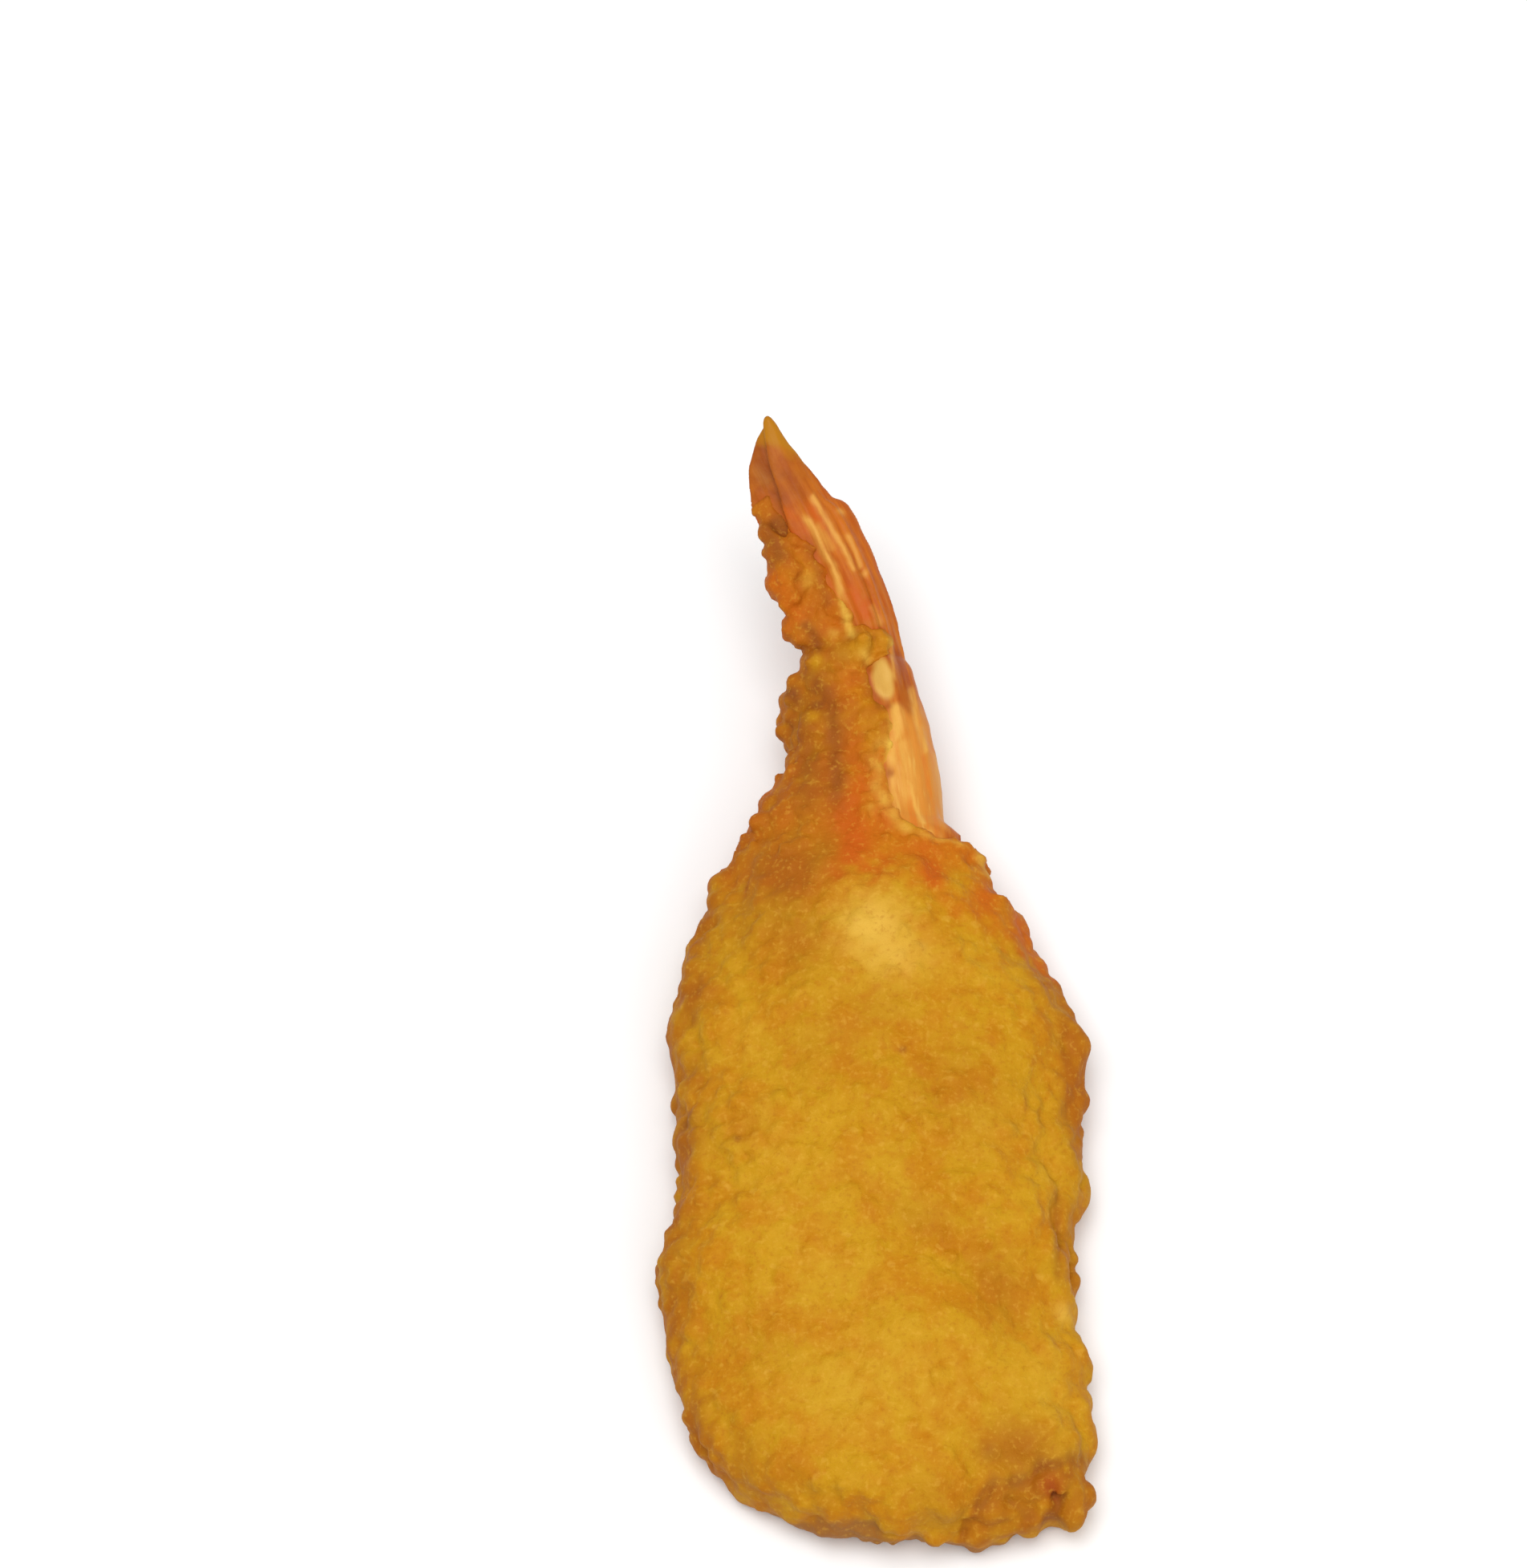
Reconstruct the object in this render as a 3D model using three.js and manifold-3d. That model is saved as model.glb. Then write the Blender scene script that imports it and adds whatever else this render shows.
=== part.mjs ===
// A butterfly shrimp: split along its back, spread flat, coated in fine breadcrumbs and fried, with the
// bare tail left on as a handle. It is one piece of food, so it is one solid: the crumb-coated body, the
// sleeve of coating that runs up one side of the tail, the last shell segment, the folded tail fan and the
// crumbs stuck to them all.
//
// Millimetres. +Y runs from the blunt front end to the tip of the tail, +X is to the right when the front
// end is nearest, and +Z is up. The shrimp lies on its flattened underside, and its tail rises behind it.

import * as THREE from "three";
import { ImprovedNoise } from "three/addons/math/ImprovedNoise.js";
import { mergeVertices } from "three/addons/utils/BufferGeometryUtils.js";
import Module from "manifold-3d";

const wasm = await Module();
wasm.setup();

// ----------------------------------------------------------------------------------------------------
// Driving dimensions

const LENGTH = 109.5; // front end to tail tip
const NECK_AT = 71.5; // length along the body at which the tail leaves it
const HEIGHT = 12.8; // of the body over its middle
const TAIL_TOP = 23.6; // height of the tail's tip
const CRUMB = 1.6; // radius of the coarsest crumbs of the coating

// The body's two sides, as lengths from its front end and reaches from the centre line
const LEFT_SIDE = [
  [0, 18.0], [13, 17.0], [20, 18.0], [26, 19.2], [32, 17.4], [40, 17.3],
  [54, 17.9], [64, 15.1], [73, 10.4], [82, 8.0],
];
const RIGHT_SIDE = [
  [0, 20.0], [10, 20.1], [20, 19.4], [30, 19.3], [40, 20.2], [51, 20.5],
  [57, 17.2], [63, 14.9], [72, 12.0], [82, 9.4],
];
const BODY_END = 82; // the coating's rounded end, round the tail's shell
const END_CORNER = 9; // length over which that end closes
const END_SLANT = 7; // the coating ends this much sooner on the right, where it leaves the shell bare
const LEFT_CORNER = 17; // length of the rounded front corner on the left
const RIGHT_CORNER = 4; // the right front corner is nearly square
const CORNER_POWER = 2.2;
const FRONT_TIP_X = 7; // the front end reaches furthest right of the centre line
const RIM_SHARE = 0.36; // height of the widest line of the body, as a share of its height
const UNDERSIDE_DIP = 0.55; // how far the underside bulges below the table, before it is pressed flat
const TOP_POWER = 2.35; // 2 is an ellipse, and more is boxier
const UNDERSIDE_POWER = 3.4;
const LEDGE = { along: 43, spread: 13, width: 2.3 }; // the low ledge that shows along part of the right side
const HUMP = { x: 0.9, along: 59.5, rise: 1.3, radius: 6.5 }; // the pale swelling in front of the tail
const CREASE = { from: [-2.5, 34.5], to: [13.4, 20], depth: 0.8, width: 2.2 }; // x and length along
const SCAR = { x: 12.8, along: 3.4, radius: 5.2, depth: 1.5 }; // where the crust has broken away
const NOTCH = { x: 17.4, halfWidth: 0.9, depth: 2 }; // in the front end, left of the corner that hangs out

// The tail, whose own directions are along it, across it to the right and out of its upper face
const NECK = new THREE.Vector3(2.8, NECK_AT, 6.9);
const TAIL_TIP = new THREE.Vector3(-9.8, LENGTH, TAIL_TOP - 0.6);
const TAIL_CURVE = new THREE.CatmullRomCurve3([
  NECK,
  new THREE.Vector3(1.6, NECK_AT + 9, 8.7),
  new THREE.Vector3(-0.5, NECK_AT + 18.5, 12.0),
  new THREE.Vector3(-4.6, LENGTH - 10.5, 17.0),
  new THREE.Vector3(-8.5, LENGTH - 3.5, 21.2),
  TAIL_TIP,
]);
const TAIL_LENGTH = TAIL_CURVE.getLength();
const SHELL_LENGTH = 15.5; // the last segment, from the neck to the joint of the fan
const SHELL_HALF_WIDTH = 4.7;
const SHELL_HALF_HEIGHT = 4.2;
const FAN_LENGTH = TAIL_LENGTH - SHELL_LENGTH;

// ----------------------------------------------------------------------------------------------------
// Small helpers

const noise = new ImprovedNoise();
const clamp = THREE.MathUtils.clamp;
const smooth = THREE.MathUtils.smoothstep;
const bell = (distance, width) => Math.exp(-((distance / width) ** 2));
const random = (low, high) => THREE.MathUtils.lerp(low, high, THREE.MathUtils.seededRandom());

// Signed power, which turns a circle's cosine or sine into a superellipse's.
const signedPower = (value, power) => Math.sign(value) * Math.abs(value) ** power;

// From 0 at an end to 1 at the given length from it, as a rounded corner widens.
function corner(length, full) {
  const short = 1 - clamp(length / full, 0, 1);
  return (1 - short ** CORNER_POWER) ** (1 / CORNER_POWER);
}

// Noise about -1 to 1 whose lumps are the given size.
function lumps(point, size, offset = 0) {
  return noise.noise(point.x / size + offset, point.y / size - offset, point.z / size + offset) * 1.6;
}

// Round swellings with creases between them, about 0 to 1.
const crags = (point, size, offset) => Math.abs(lumps(point, size, offset));

// A closed surface from a sphere whose poles are the ends of the Y axis. place(share, angle) gives the
// point for a share of the way from the far end (+Y) to the near end, and an angle round it: 0 is right,
// a quarter turn is up. relief(point) then moves each point along its normal.
function closedLoft(around, along, place, relief = null) {
  const sphere = new THREE.SphereGeometry(1, around, along);
  const at = sphere.getAttribute("position");
  const unit = new THREE.Vector3();
  for (let i = 0; i < at.count; i++) {
    unit.fromBufferAttribute(at, i);
    const share = Math.acos(clamp(unit.y, -1, 1)) / Math.PI;
    const point = place(share, Math.atan2(unit.z, unit.x));
    at.setXYZ(i, point.x, point.y, point.z);
  }
  sphere.deleteAttribute("normal");
  sphere.deleteAttribute("uv");
  const loft = mergeVertices(sphere, 1e-3);
  if (relief) pushOut(loft, relief);
  return loft;
}

function pushOut(geometry, relief) {
  geometry.computeVertexNormals();
  const at = geometry.getAttribute("position");
  const point = new THREE.Vector3();
  const normal = new THREE.Vector3();
  const moved = [];
  for (let i = 0; i < at.count; i++) {
    point.fromBufferAttribute(at, i);
    normal.fromBufferAttribute(geometry.getAttribute("normal"), i);
    moved.push(point.clone().addScaledVector(normal, relief(point)));
  }
  moved.forEach((p, i) => at.setXYZ(i, p.x, p.y, p.z));
  geometry.deleteAttribute("normal");
}

function solidOf(geometry) {
  const mesh = new wasm.Mesh({
    numProp: 3,
    vertProperties: geometry.getAttribute("position").array,
    triVerts: new Uint32Array(geometry.index.array),
  });
  return new wasm.Manifold(mesh);
}

function geometryOf(solid) {
  const mesh = solid.getMesh();
  return new THREE.BufferGeometry()
    .setAttribute("position", new THREE.BufferAttribute(new Float32Array(mesh.vertProperties), 3))
    .setIndex(new THREE.BufferAttribute(new Uint32Array(mesh.triVerts), 1));
}

// ----------------------------------------------------------------------------------------------------
// The crumbed body

// A smooth curve through a side's stations, as a table that reach() looks up.
function sideCurve(stations) {
  const points = stations.map(([along, across]) => new THREE.Vector2(along, across));
  return new THREE.SplineCurve(points).getPoints(120);
}

const SIDES = { left: sideCurve(LEFT_SIDE), right: sideCurve(RIGHT_SIDE) };

function reach(along, side) {
  const curve = side < 0 ? SIDES.left : SIDES.right;
  const next = clamp(curve.findIndex((point) => point.x >= along), 1, curve.length - 1);
  const [before, after] = [curve[next - 1], curve[next]];
  return THREE.MathUtils.mapLinear(along, before.x, after.x, before.y, after.y);
}

// From 0 at the front end to 1 where a side's front corner has opened out, and the same for the far end.
const frontOpening = (along, side) => corner(along, side < 0 ? LEFT_CORNER : RIGHT_CORNER);
const endOpening = (along) => corner(BODY_END - along, END_CORNER);

// The body's edge on one side (-1 left, 1 right) at a length along it.
function edgeX(along, side) {
  const open = frontOpening(along, side);
  return FRONT_TIP_X * (1 - open) + side * reach(along, side) * open * endOpening(along);
}

// The line from which both sides open out. It starts at the front tip.
const middleX = (along) => FRONT_TIP_X * (1 - (frontOpening(along, -1) + frontOpening(along, 1)) / 2);

// The body's far end follows the tail as it starts to rise.
const tailRise = (along) => 1.7 * smooth(along, NECK_AT - 3, BODY_END + 2);
const underHeight = (along) => -UNDERSIDE_DIP + 2.4 * smooth(along, 61, NECK_AT + 1) + tailRise(along);

function topHeight(along) {
  const spine = HEIGHT * (0.78 + 0.22 * smooth(along, 2, 42));
  const shoulder = smooth(along, 60, NECK_AT + 3);
  return THREE.MathUtils.lerp(spine, NECK.z + 4.9, shoulder) + tailRise(along);
}

// Lengths along the body at which its rings lie: closer at the two ends, and closest at the front.
function ringAt(share) {
  const closeFront = 1 - Math.sin((share * Math.PI) / 2);
  const closeBoth = (1 + Math.cos(share * Math.PI)) / 2;
  return BODY_END * (0.55 * closeFront + 0.45 * closeBoth);
}

function bodyPoint(share, angle) {
  const along = ringAt(share);
  const side = Math.cos(angle) < 0 ? -1 : 1;
  const upper = Math.sin(angle) > 0;
  const power = 2 / (upper ? TOP_POWER : UNDERSIDE_POWER);
  const across = signedPower(Math.cos(angle), power);
  const up = signedPower(Math.sin(angle), power);

  const low = underHeight(along);
  const high = topHeight(along);
  const rim = low + (high - low) * RIM_SHARE;
  const closing = Math.min(corner(along, 6), endOpening(along));
  const rise = (upper ? high - rim : rim - low) * closing;
  const onLedge = side > 0 ? bell(along - LEDGE.along, LEDGE.spread) * smooth(up, 0.15, 0.55) : 0;
  const middle = middleX(along);
  const half = Math.max(Math.abs(edgeX(along, side) - middle) - LEDGE.width * onLedge, 0);
  const rightness = smooth(across * endOpening(along), -0.3, 0.5);
  const sooner = END_SLANT * rightness * smooth(along, 60, BODY_END);
  return new THREE.Vector3(middle + across * half, along - sooner, rim + up * rise);
}

// The body's lumps, its hump, its crease and the scar, as heights along the normal.
function bodyRelief(point) {
  const inward = new THREE.Vector2(point.x - HUMP.x, point.y - HUMP.along).length();
  const hump = HUMP.rise * bell(inward, HUMP.radius);
  const near = 1 - smooth(point.y, NECK_AT - 8, NECK_AT + 4); // calmer where the neck is thin
  const full = reach(clamp(point.y, 0, BODY_END), Math.sign(point.x) || 1);
  const sides = smooth(Math.abs(point.x), full - 6, full - 1) + 1 - smooth(point.y, 1, 7);
  const edge = clamp(sides, 0, 1);
  const swell = 0.6 * lumps(point, 10, 4.3) * near;
  const knobs = (0.2 + 0.8 * edge) * (crags(point, 4.6, 7.1) - 0.35);
  const grit = (0.1 + 0.55 * edge) * (crags(point, 3.1, 1.7) - 0.4);
  const above = smooth(point.z, 5, 8);
  return (hump + swell) * above + knobs + grit - above * creaseDepth(point) - scarDepth(point);
}

function creaseDepth(point) {
  const from = new THREE.Vector2(...CREASE.from);
  const line = new THREE.Vector2(...CREASE.to).sub(from);
  const here = new THREE.Vector2(point.x, point.y).sub(from);
  const share = here.dot(line) / line.lengthSq();
  const off = here.sub(line.clone().multiplyScalar(clamp(share, 0, 1))).length();
  return CREASE.depth * bell(off, CREASE.width) * smooth(share, -0.1, 0.5);
}

function scarDepth(point) {
  const off = new THREE.Vector2(point.x - SCAR.x, (point.y - SCAR.along) * 1.25).length();
  const ragged = SCAR.radius * (1 + 0.22 * lumps(point, 2.4, 9.2));
  const inside = 1 - smooth(off, ragged - 1.4, ragged + 0.6);
  return SCAR.depth * inside * smooth(point.z, 3.5, 6);
}

// ----------------------------------------------------------------------------------------------------
// The tail

// The tail's own directions at a length from the neck, and the point on its centre line.
function tailFrame(length) {
  const share = clamp(length / TAIL_LENGTH, 0, 1);
  const centre = TAIL_CURVE.getPointAt(share);
  const ahead = TAIL_CURVE.getTangentAt(share);
  centre.addScaledVector(ahead, length - share * TAIL_LENGTH);
  const right = new THREE.Vector3().crossVectors(ahead, new THREE.Vector3(0, 0, 1)).normalize();
  const up = new THREE.Vector3().crossVectors(right, ahead);
  return { centre, ahead, right, up };
}

function onTail(length, across, height) {
  const { centre, right, up } = tailFrame(length);
  return centre.addScaledVector(right, across).addScaledVector(up, height);
}

// The last shell segment: a tube from inside the body to the joint of the fan, a little pinched there.
function shellPoint(share, angle) {
  const start = -8;
  const end = SHELL_LENGTH + 2.8;
  const length = THREE.MathUtils.lerp(end, start, share);
  const swell = 1 + 0.1 * bell(length - 5, 6) - 0.08 * bell(length - SHELL_LENGTH, 2.5);
  const closed = Math.min(corner(end - length, 3), corner(length - start, 3));
  const across = SHELL_HALF_WIDTH * swell * closed * signedPower(Math.cos(angle), 0.85);
  const height = SHELL_HALF_HEIGHT * swell * closed * signedPower(Math.sin(angle), 0.9);
  return onTail(length, across, height * (1 - 0.3 * smooth(length, 4, end)));
}

// The knob where the fan is jointed to the shell, on the right.
function knobPoint(share, angle) {
  const turn = Math.PI * share;
  const length = SHELL_LENGTH + 2.4 * Math.cos(turn);
  const across = 1.5 + 1.3 * Math.sin(turn) * Math.cos(angle);
  return onTail(length, across, 2 + 1.8 * Math.sin(turn) * Math.sin(angle));
}

// The coating on the left of the tail. It is thick at the neck and thins out part-way up the fan.
function sleevePoint(share, angle) {
  const start = -8;
  const end = SHELL_LENGTH + 20;
  const length = THREE.MathUtils.lerp(end, start, share);
  const closed = Math.min(corner(end - length, 9), corner(length - start, 3));
  const flap = 1 - smooth(length, 16, 18);
  const notch = bell(length - 20.8, 1.1);
  const narrowing = 1.9 * smooth(length, 0, 12) + 1.9 * smooth(length, 28, end);
  const left = -7.5 - 3.0 * flap + narrowing + 1.5 * notch;
  const right = THREE.MathUtils.lerp(0.6, -1.6, smooth(length, 16, 24));
  const middle = (left + right) / 2;
  const half = (right - left) / 2;
  const thick = 4.3 - 2.8 * smooth(length, 9, 26);
  const across = middle + half * closed * signedPower(Math.cos(angle), 0.9);
  const droop = 0.4 * flap * Math.min(across + 2, 0); // the flap of coating beside the shell lies lower
  return onTail(length, across, thick * closed * signedPower(Math.sin(angle), 0.85) + droop);
}

function sleeveRelief(point) {
  return 0.75 * (crags(point, 3.1, 2.9) - 0.3) + 0.35 * (crags(point, 1.6, 5.5) - 0.4);
}

// The blades of the folded fan, each of them rolled and shifted a little from the one below. A blade has a
// stiff outer side, which may end in a short spine, and a rounder inner one. Its lengths are measured from
// the joint. It starts to narrow at the share of its length given as taper, and would come to a point at the
// share given as point, so that a larger one leaves a blunter tip.
const BLADES = [
  {
    length: FAN_LENGTH, outer: 3.6, inner: 3.6, across: 0.9, height: 1.3, roll: -0.1, side: 1,
    taper: 0.42, point: 1.12, spine: 17.3, ridges: [0.12, 0.57], around: 26, along: 26,
  },
  {
    length: FAN_LENGTH - 3, outer: 2.8, inner: 2.6, across: -0.6, height: 0.6, roll: 0.05, side: 1,
    taper: 0.5, point: 1.06, spine: 0, ridges: [-0.2], around: 14, along: 14,
  },
  {
    length: FAN_LENGTH - 6, outer: 1.8, inner: 1.8, across: 0.2, height: -0.3, roll: 0, side: 1,
    taper: 0.5, point: 1.06, spine: 0, ridges: [0], around: 12, along: 12,
  },
  {
    length: FAN_LENGTH - 4, outer: 3.1, inner: 2.4, across: -1.5, height: 0, roll: 0.14, side: -1,
    taper: 0.5, point: 1.06, spine: 0, ridges: [0.1], around: 14, along: 14,
  },
  {
    length: FAN_LENGTH - 0.8, outer: 3.9, inner: 2.6, across: -1.7, height: -0.5, roll: 0.22, side: -1,
    taper: 0.74, point: 1.06, spine: 0, ridges: [0.2], around: 18, along: 18,
  },
];
const BLADE_THICKNESS = 1.0;

// Share of a blade's full width at a share of its length from the joint.
function bladeWidth(share, taper, point) {
  const opening = 0.84 + 0.16 * smooth(share, 0, 0.3);
  const closing = (1 - smooth(share, taper, point)) ** 0.75;
  return opening * closing;
}

function bladePoint(blade, share, angle) {
  const start = -3.5;
  const length = THREE.MathUtils.lerp(blade.length, start, share);
  const along = clamp(length / blade.length, 0, 1);
  const closed = Math.min(corner(length - start, 2.5), corner(blade.length - length, 1.5));
  const across = signedPower(Math.cos(angle), 0.9);
  const outward = across * blade.side > 0;
  const beyondSpine = blade.spine && outward ? smooth(length, blade.spine - 0.2, blade.spine + 1.2) : 0;
  const stiff = blade.spine && outward ? 0.16 * smooth(length, 6, blade.spine) : 0;
  const width = bladeWidth(along, blade.taper, blade.point) * closed * (1 + stiff - 0.32 * beyondSpine);
  const x = across * width * (outward ? blade.outer : blade.inner);

  const edge = 1 - 0.45 * Math.abs(across);
  const ridge = blade.ridges.reduce((sum, place) => sum + 0.55 * bell(across - place, 0.15), 0);
  const lift = Math.sin(angle) > 0 ? ridge * smooth(along, 0, 0.12) * (1 - smooth(along, 0.45, 0.85)) : 0;
  const thick = BLADE_THICKNESS * edge * (1 - 0.4 * along) * signedPower(Math.sin(angle), 0.8);
  const arch = -0.08 * x * x * (1 - along); // each blade curls down at its edges
  const z = (thick + lift) * closed + arch;

  const rolled = new THREE.Vector2(x, z).rotateAround(new THREE.Vector2(), blade.roll);
  const swung = blade.across * (1 - along ** 2);
  return onTail(SHELL_LENGTH + length, rolled.x + swung, rolled.y + blade.height * (1 - 0.5 * along));
}

// ----------------------------------------------------------------------------------------------------
// Crumbs and flakes fused to the coating

// An uneven crumb: an icosahedron whose corners are pushed in and out.
function crumb(centre, radius, flat = 0.75) {
  const shape = new THREE.IcosahedronGeometry(1, 0);
  shape.deleteAttribute("normal");
  shape.deleteAttribute("uv");
  const merged = mergeVertices(shape, 1e-3);
  const at = merged.getAttribute("position");
  for (let i = 0; i < at.count; i++) {
    const size = radius * random(0.75, 1.2);
    at.setXYZ(i, at.getX(i) * size, at.getY(i) * size, at.getZ(i) * size * flat);
  }
  const turn = new THREE.Euler(random(-0.5, 0.5), random(-0.5, 0.5), random(0, 6));
  merged.applyMatrix4(new THREE.Matrix4().makeRotationFromEuler(turn));
  merged.translate(centre.x, centre.y, centre.z);
  return solidOf(merged);
}

// Crumbs round the edge of the body, evenly spaced by length along it and by side, at uneven heights.
const EDGE_CRUMBS = 22; // each side
function edgeCrumbs() {
  THREE.MathUtils.seededRandom(7);
  const made = [];
  for (const side of [-1, 1]) {
    const last = side < 0 ? NECK_AT + 2 : NECK_AT - END_SLANT;
    for (let i = 0; i < EDGE_CRUMBS; i++) {
      const along = THREE.MathUtils.lerp(1, last, (i + random(0.1, 0.9)) / EDGE_CRUMBS);
      const radius = CRUMB * random(0.6, 1.05);
      const x = edgeX(along, side) - side * radius * random(0.35, 0.8);
      const height = THREE.MathUtils.lerp(underHeight(along), topHeight(along), random(0.22, 0.52));
      made.push(crumb(new THREE.Vector3(x, along, Math.max(height, radius * 0.8)), radius));
    }
  }
  return made;
}

// The flakes of crust that stand out from the right side, with how far each hangs over the body's edge.
const FLAKES = [
  { along: 35.5, overhang: 1.4, size: 2.6 },
  { along: 27.5, overhang: 0.9, size: 2.3 },
  { along: 18, overhang: 1.2, size: 2.5 },
  { along: 10.8, overhang: 1.1, size: 2.7 },
  { along: 2.4, overhang: 0.5, size: 2.1 },
];

function flake({ along, overhang, size }) {
  const shape = new THREE.OctahedronGeometry(1, 1);
  shape.deleteAttribute("normal");
  shape.deleteAttribute("uv");
  const merged = mergeVertices(shape, 1e-3);
  const at = merged.getAttribute("position");
  for (let i = 0; i < at.count; i++) {
    const lean = 0.6 * Math.max(at.getX(i), 0); // the outer corner hangs towards the front
    at.setXYZ(i, at.getX(i) * size, (at.getY(i) - lean) * size * 0.9, at.getZ(i) * size * 0.5);
  }
  merged.translate(edgeX(along, 1) + overhang - 0.75 * size, along, 3.4);
  return solidOf(merged);
}

// Lumps of coating along the tail's left edge and across the joint of the fan, as lengths from the neck.
const TAIL_LUMPS = [
  { length: 20.5, across: -3.9, height: 0.1, radius: 1.8 },
  { length: 22.9, across: -5.4, height: 0.1, radius: 1.6 },
  { length: 28.2, across: -5.4, height: 0.1, radius: 1.5 },
  { length: 33.5, across: -3.7, height: 0.1, radius: 1.6 },
  { length: 37.3, across: -3.1, height: -0.2, radius: 1.5 },
  { length: 18.6, across: -2.6, height: 2.4, radius: 1.7 },
  { length: 19.6, across: -0.2, height: 2.5, radius: 1.6 },
  { length: 19.4, across: 2.0, height: 2.1, radius: 1.3 },
];

function tailLumps() {
  THREE.MathUtils.seededRandom(11);
  return TAIL_LUMPS.map(({ length, across, height, radius }) =>
    crumb(onTail(length, across, height), radius, 0.8),
  );
}

// What the notch in the front end takes away: an upright rod, longer than it is wide.
function frontNotch() {
  const rod = new THREE.CylinderGeometry(1, 1, 40, 12).rotateX(Math.PI / 2);
  rod.deleteAttribute("normal");
  rod.deleteAttribute("uv");
  const shape = mergeVertices(rod, 1e-3);
  shape.scale(NOTCH.halfWidth, 3, 1);
  shape.translate(NOTCH.x, NOTCH.depth - 3, 0);
  return solidOf(shape);
}

// ----------------------------------------------------------------------------------------------------
// The whole shrimp

function wholeShrimp() {
  const body = closedLoft(60, 48, bodyPoint, bodyRelief);
  const shell = closedLoft(24, 14, shellPoint);
  const knob = closedLoft(10, 8, knobPoint);
  const sleeve = closedLoft(20, 26, sleevePoint, sleeveRelief);
  const blades = BLADES.map((blade) =>
    closedLoft(blade.around, blade.along, (share, angle) => bladePoint(blade, share, angle)),
  );
  const pieces = [body, shell, knob, sleeve, ...blades].map(solidOf);
  const bits = [...edgeCrumbs(), ...FLAKES.map(flake), ...tailLumps()];
  const solid = [...pieces, ...bits].reduce((a, b) => a.add(b)).subtract(frontNotch());

  // The underside is pressed flat where it lay.
  const above = new THREE.BoxGeometry(200, 300, 100);
  above.deleteAttribute("normal");
  above.deleteAttribute("uv");
  const room = mergeVertices(above, 1e-3).translate(0, 50, 50);
  return geometryOf(solid.intersect(solidOf(room)));
}

const geometry = wholeShrimp();
geometry.computeBoundingBox();
const box = geometry.boundingBox;
geometry.translate(-(box.min.x + box.max.x) / 2, -(box.min.y + box.max.y) / 2, -box.min.z);
geometry.computeVertexNormals();

const shrimp = new THREE.Mesh(
  geometry,
  new THREE.MeshStandardMaterial({ color: 0xcd901f, roughness: 0.72, metalness: 0 }), // golden fried crumb
);
shrimp.name = "butterfly_shrimp";

const group = new THREE.Group();
group.add(shrimp);

export default group;
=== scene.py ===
"""A butterfly shrimp: a crumb-coated, fried body and the bare shell of its tail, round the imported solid.

Shapes are worked out in millimetres, in boxes of voxels that hold the distance to the surface. The distance
is below 0 inside. The surfaces are turned into meshes in metres at the end.
"""

import math
from functools import partial

import bpy
import numpy as np
import openvdb as vdb
from mathutils import Matrix, Vector


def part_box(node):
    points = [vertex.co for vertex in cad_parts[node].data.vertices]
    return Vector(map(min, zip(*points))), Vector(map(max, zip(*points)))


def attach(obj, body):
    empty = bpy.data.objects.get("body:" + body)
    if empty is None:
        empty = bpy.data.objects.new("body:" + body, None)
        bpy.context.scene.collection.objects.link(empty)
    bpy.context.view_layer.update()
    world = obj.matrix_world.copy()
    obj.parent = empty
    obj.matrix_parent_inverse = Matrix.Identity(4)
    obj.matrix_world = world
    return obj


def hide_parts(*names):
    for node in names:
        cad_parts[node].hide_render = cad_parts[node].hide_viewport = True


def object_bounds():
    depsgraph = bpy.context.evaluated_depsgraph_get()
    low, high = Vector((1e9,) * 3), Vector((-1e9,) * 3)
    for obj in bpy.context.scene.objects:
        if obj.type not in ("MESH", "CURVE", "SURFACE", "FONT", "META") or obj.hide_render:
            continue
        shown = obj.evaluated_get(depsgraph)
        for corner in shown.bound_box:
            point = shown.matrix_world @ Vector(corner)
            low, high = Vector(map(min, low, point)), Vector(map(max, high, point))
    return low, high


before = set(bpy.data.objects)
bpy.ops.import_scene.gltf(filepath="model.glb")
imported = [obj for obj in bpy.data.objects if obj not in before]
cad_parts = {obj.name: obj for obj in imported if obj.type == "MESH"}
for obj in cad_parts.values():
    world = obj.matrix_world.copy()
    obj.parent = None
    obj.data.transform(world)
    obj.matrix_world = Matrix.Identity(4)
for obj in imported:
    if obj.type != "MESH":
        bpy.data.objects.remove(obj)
cad_low, cad_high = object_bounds()

NODE = "butterfly_shrimp"
METRE = 1000.0  # millimetres in a metre

# The part's own zero is its front end and its centre line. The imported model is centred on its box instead.
FRONT_OVERHANG = 0.519  # how far the crumbs reach in front of the front end
LEFT_REACH = 19.760  # how far the part reaches to the left of its centre line
low_mm, _ = (np.array(corner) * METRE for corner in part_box(NODE))
PART_ZERO = np.array([low_mm[0] + LEFT_REACH, low_mm[1] + FRONT_OVERHANG, 0.0])

# ------------------------------------
# Driving dimensions, in millimetres, the same as the solid's

LENGTH = 109.5
NECK_AT = 71.5
TAIL_TOP = 23.6
NECK = (2.8, NECK_AT, 6.9)
TAIL_POINTS = [
    NECK,
    (1.6, NECK_AT + 9, 8.7),
    (-0.5, NECK_AT + 18.5, 12.0),
    (-4.6, LENGTH - 10.5, 17.0),
    (-8.5, LENGTH - 3.5, 21.2),
    (-9.8, LENGTH, TAIL_TOP - 0.6),
]
SHELL_LENGTH = 15.5
SHELL_HALF_WIDTH = 4.7
SHELL_HALF_HEIGHT = 4.2

COAT_VOXEL = 0.325
TAIL_VOXEL = 0.16
BAND = 2.4  # distances are known this far from a surface
NOISE_GAIN = 1.7  # the spread of spline noise is small, so it is scaled up to about -1 to 1

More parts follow.
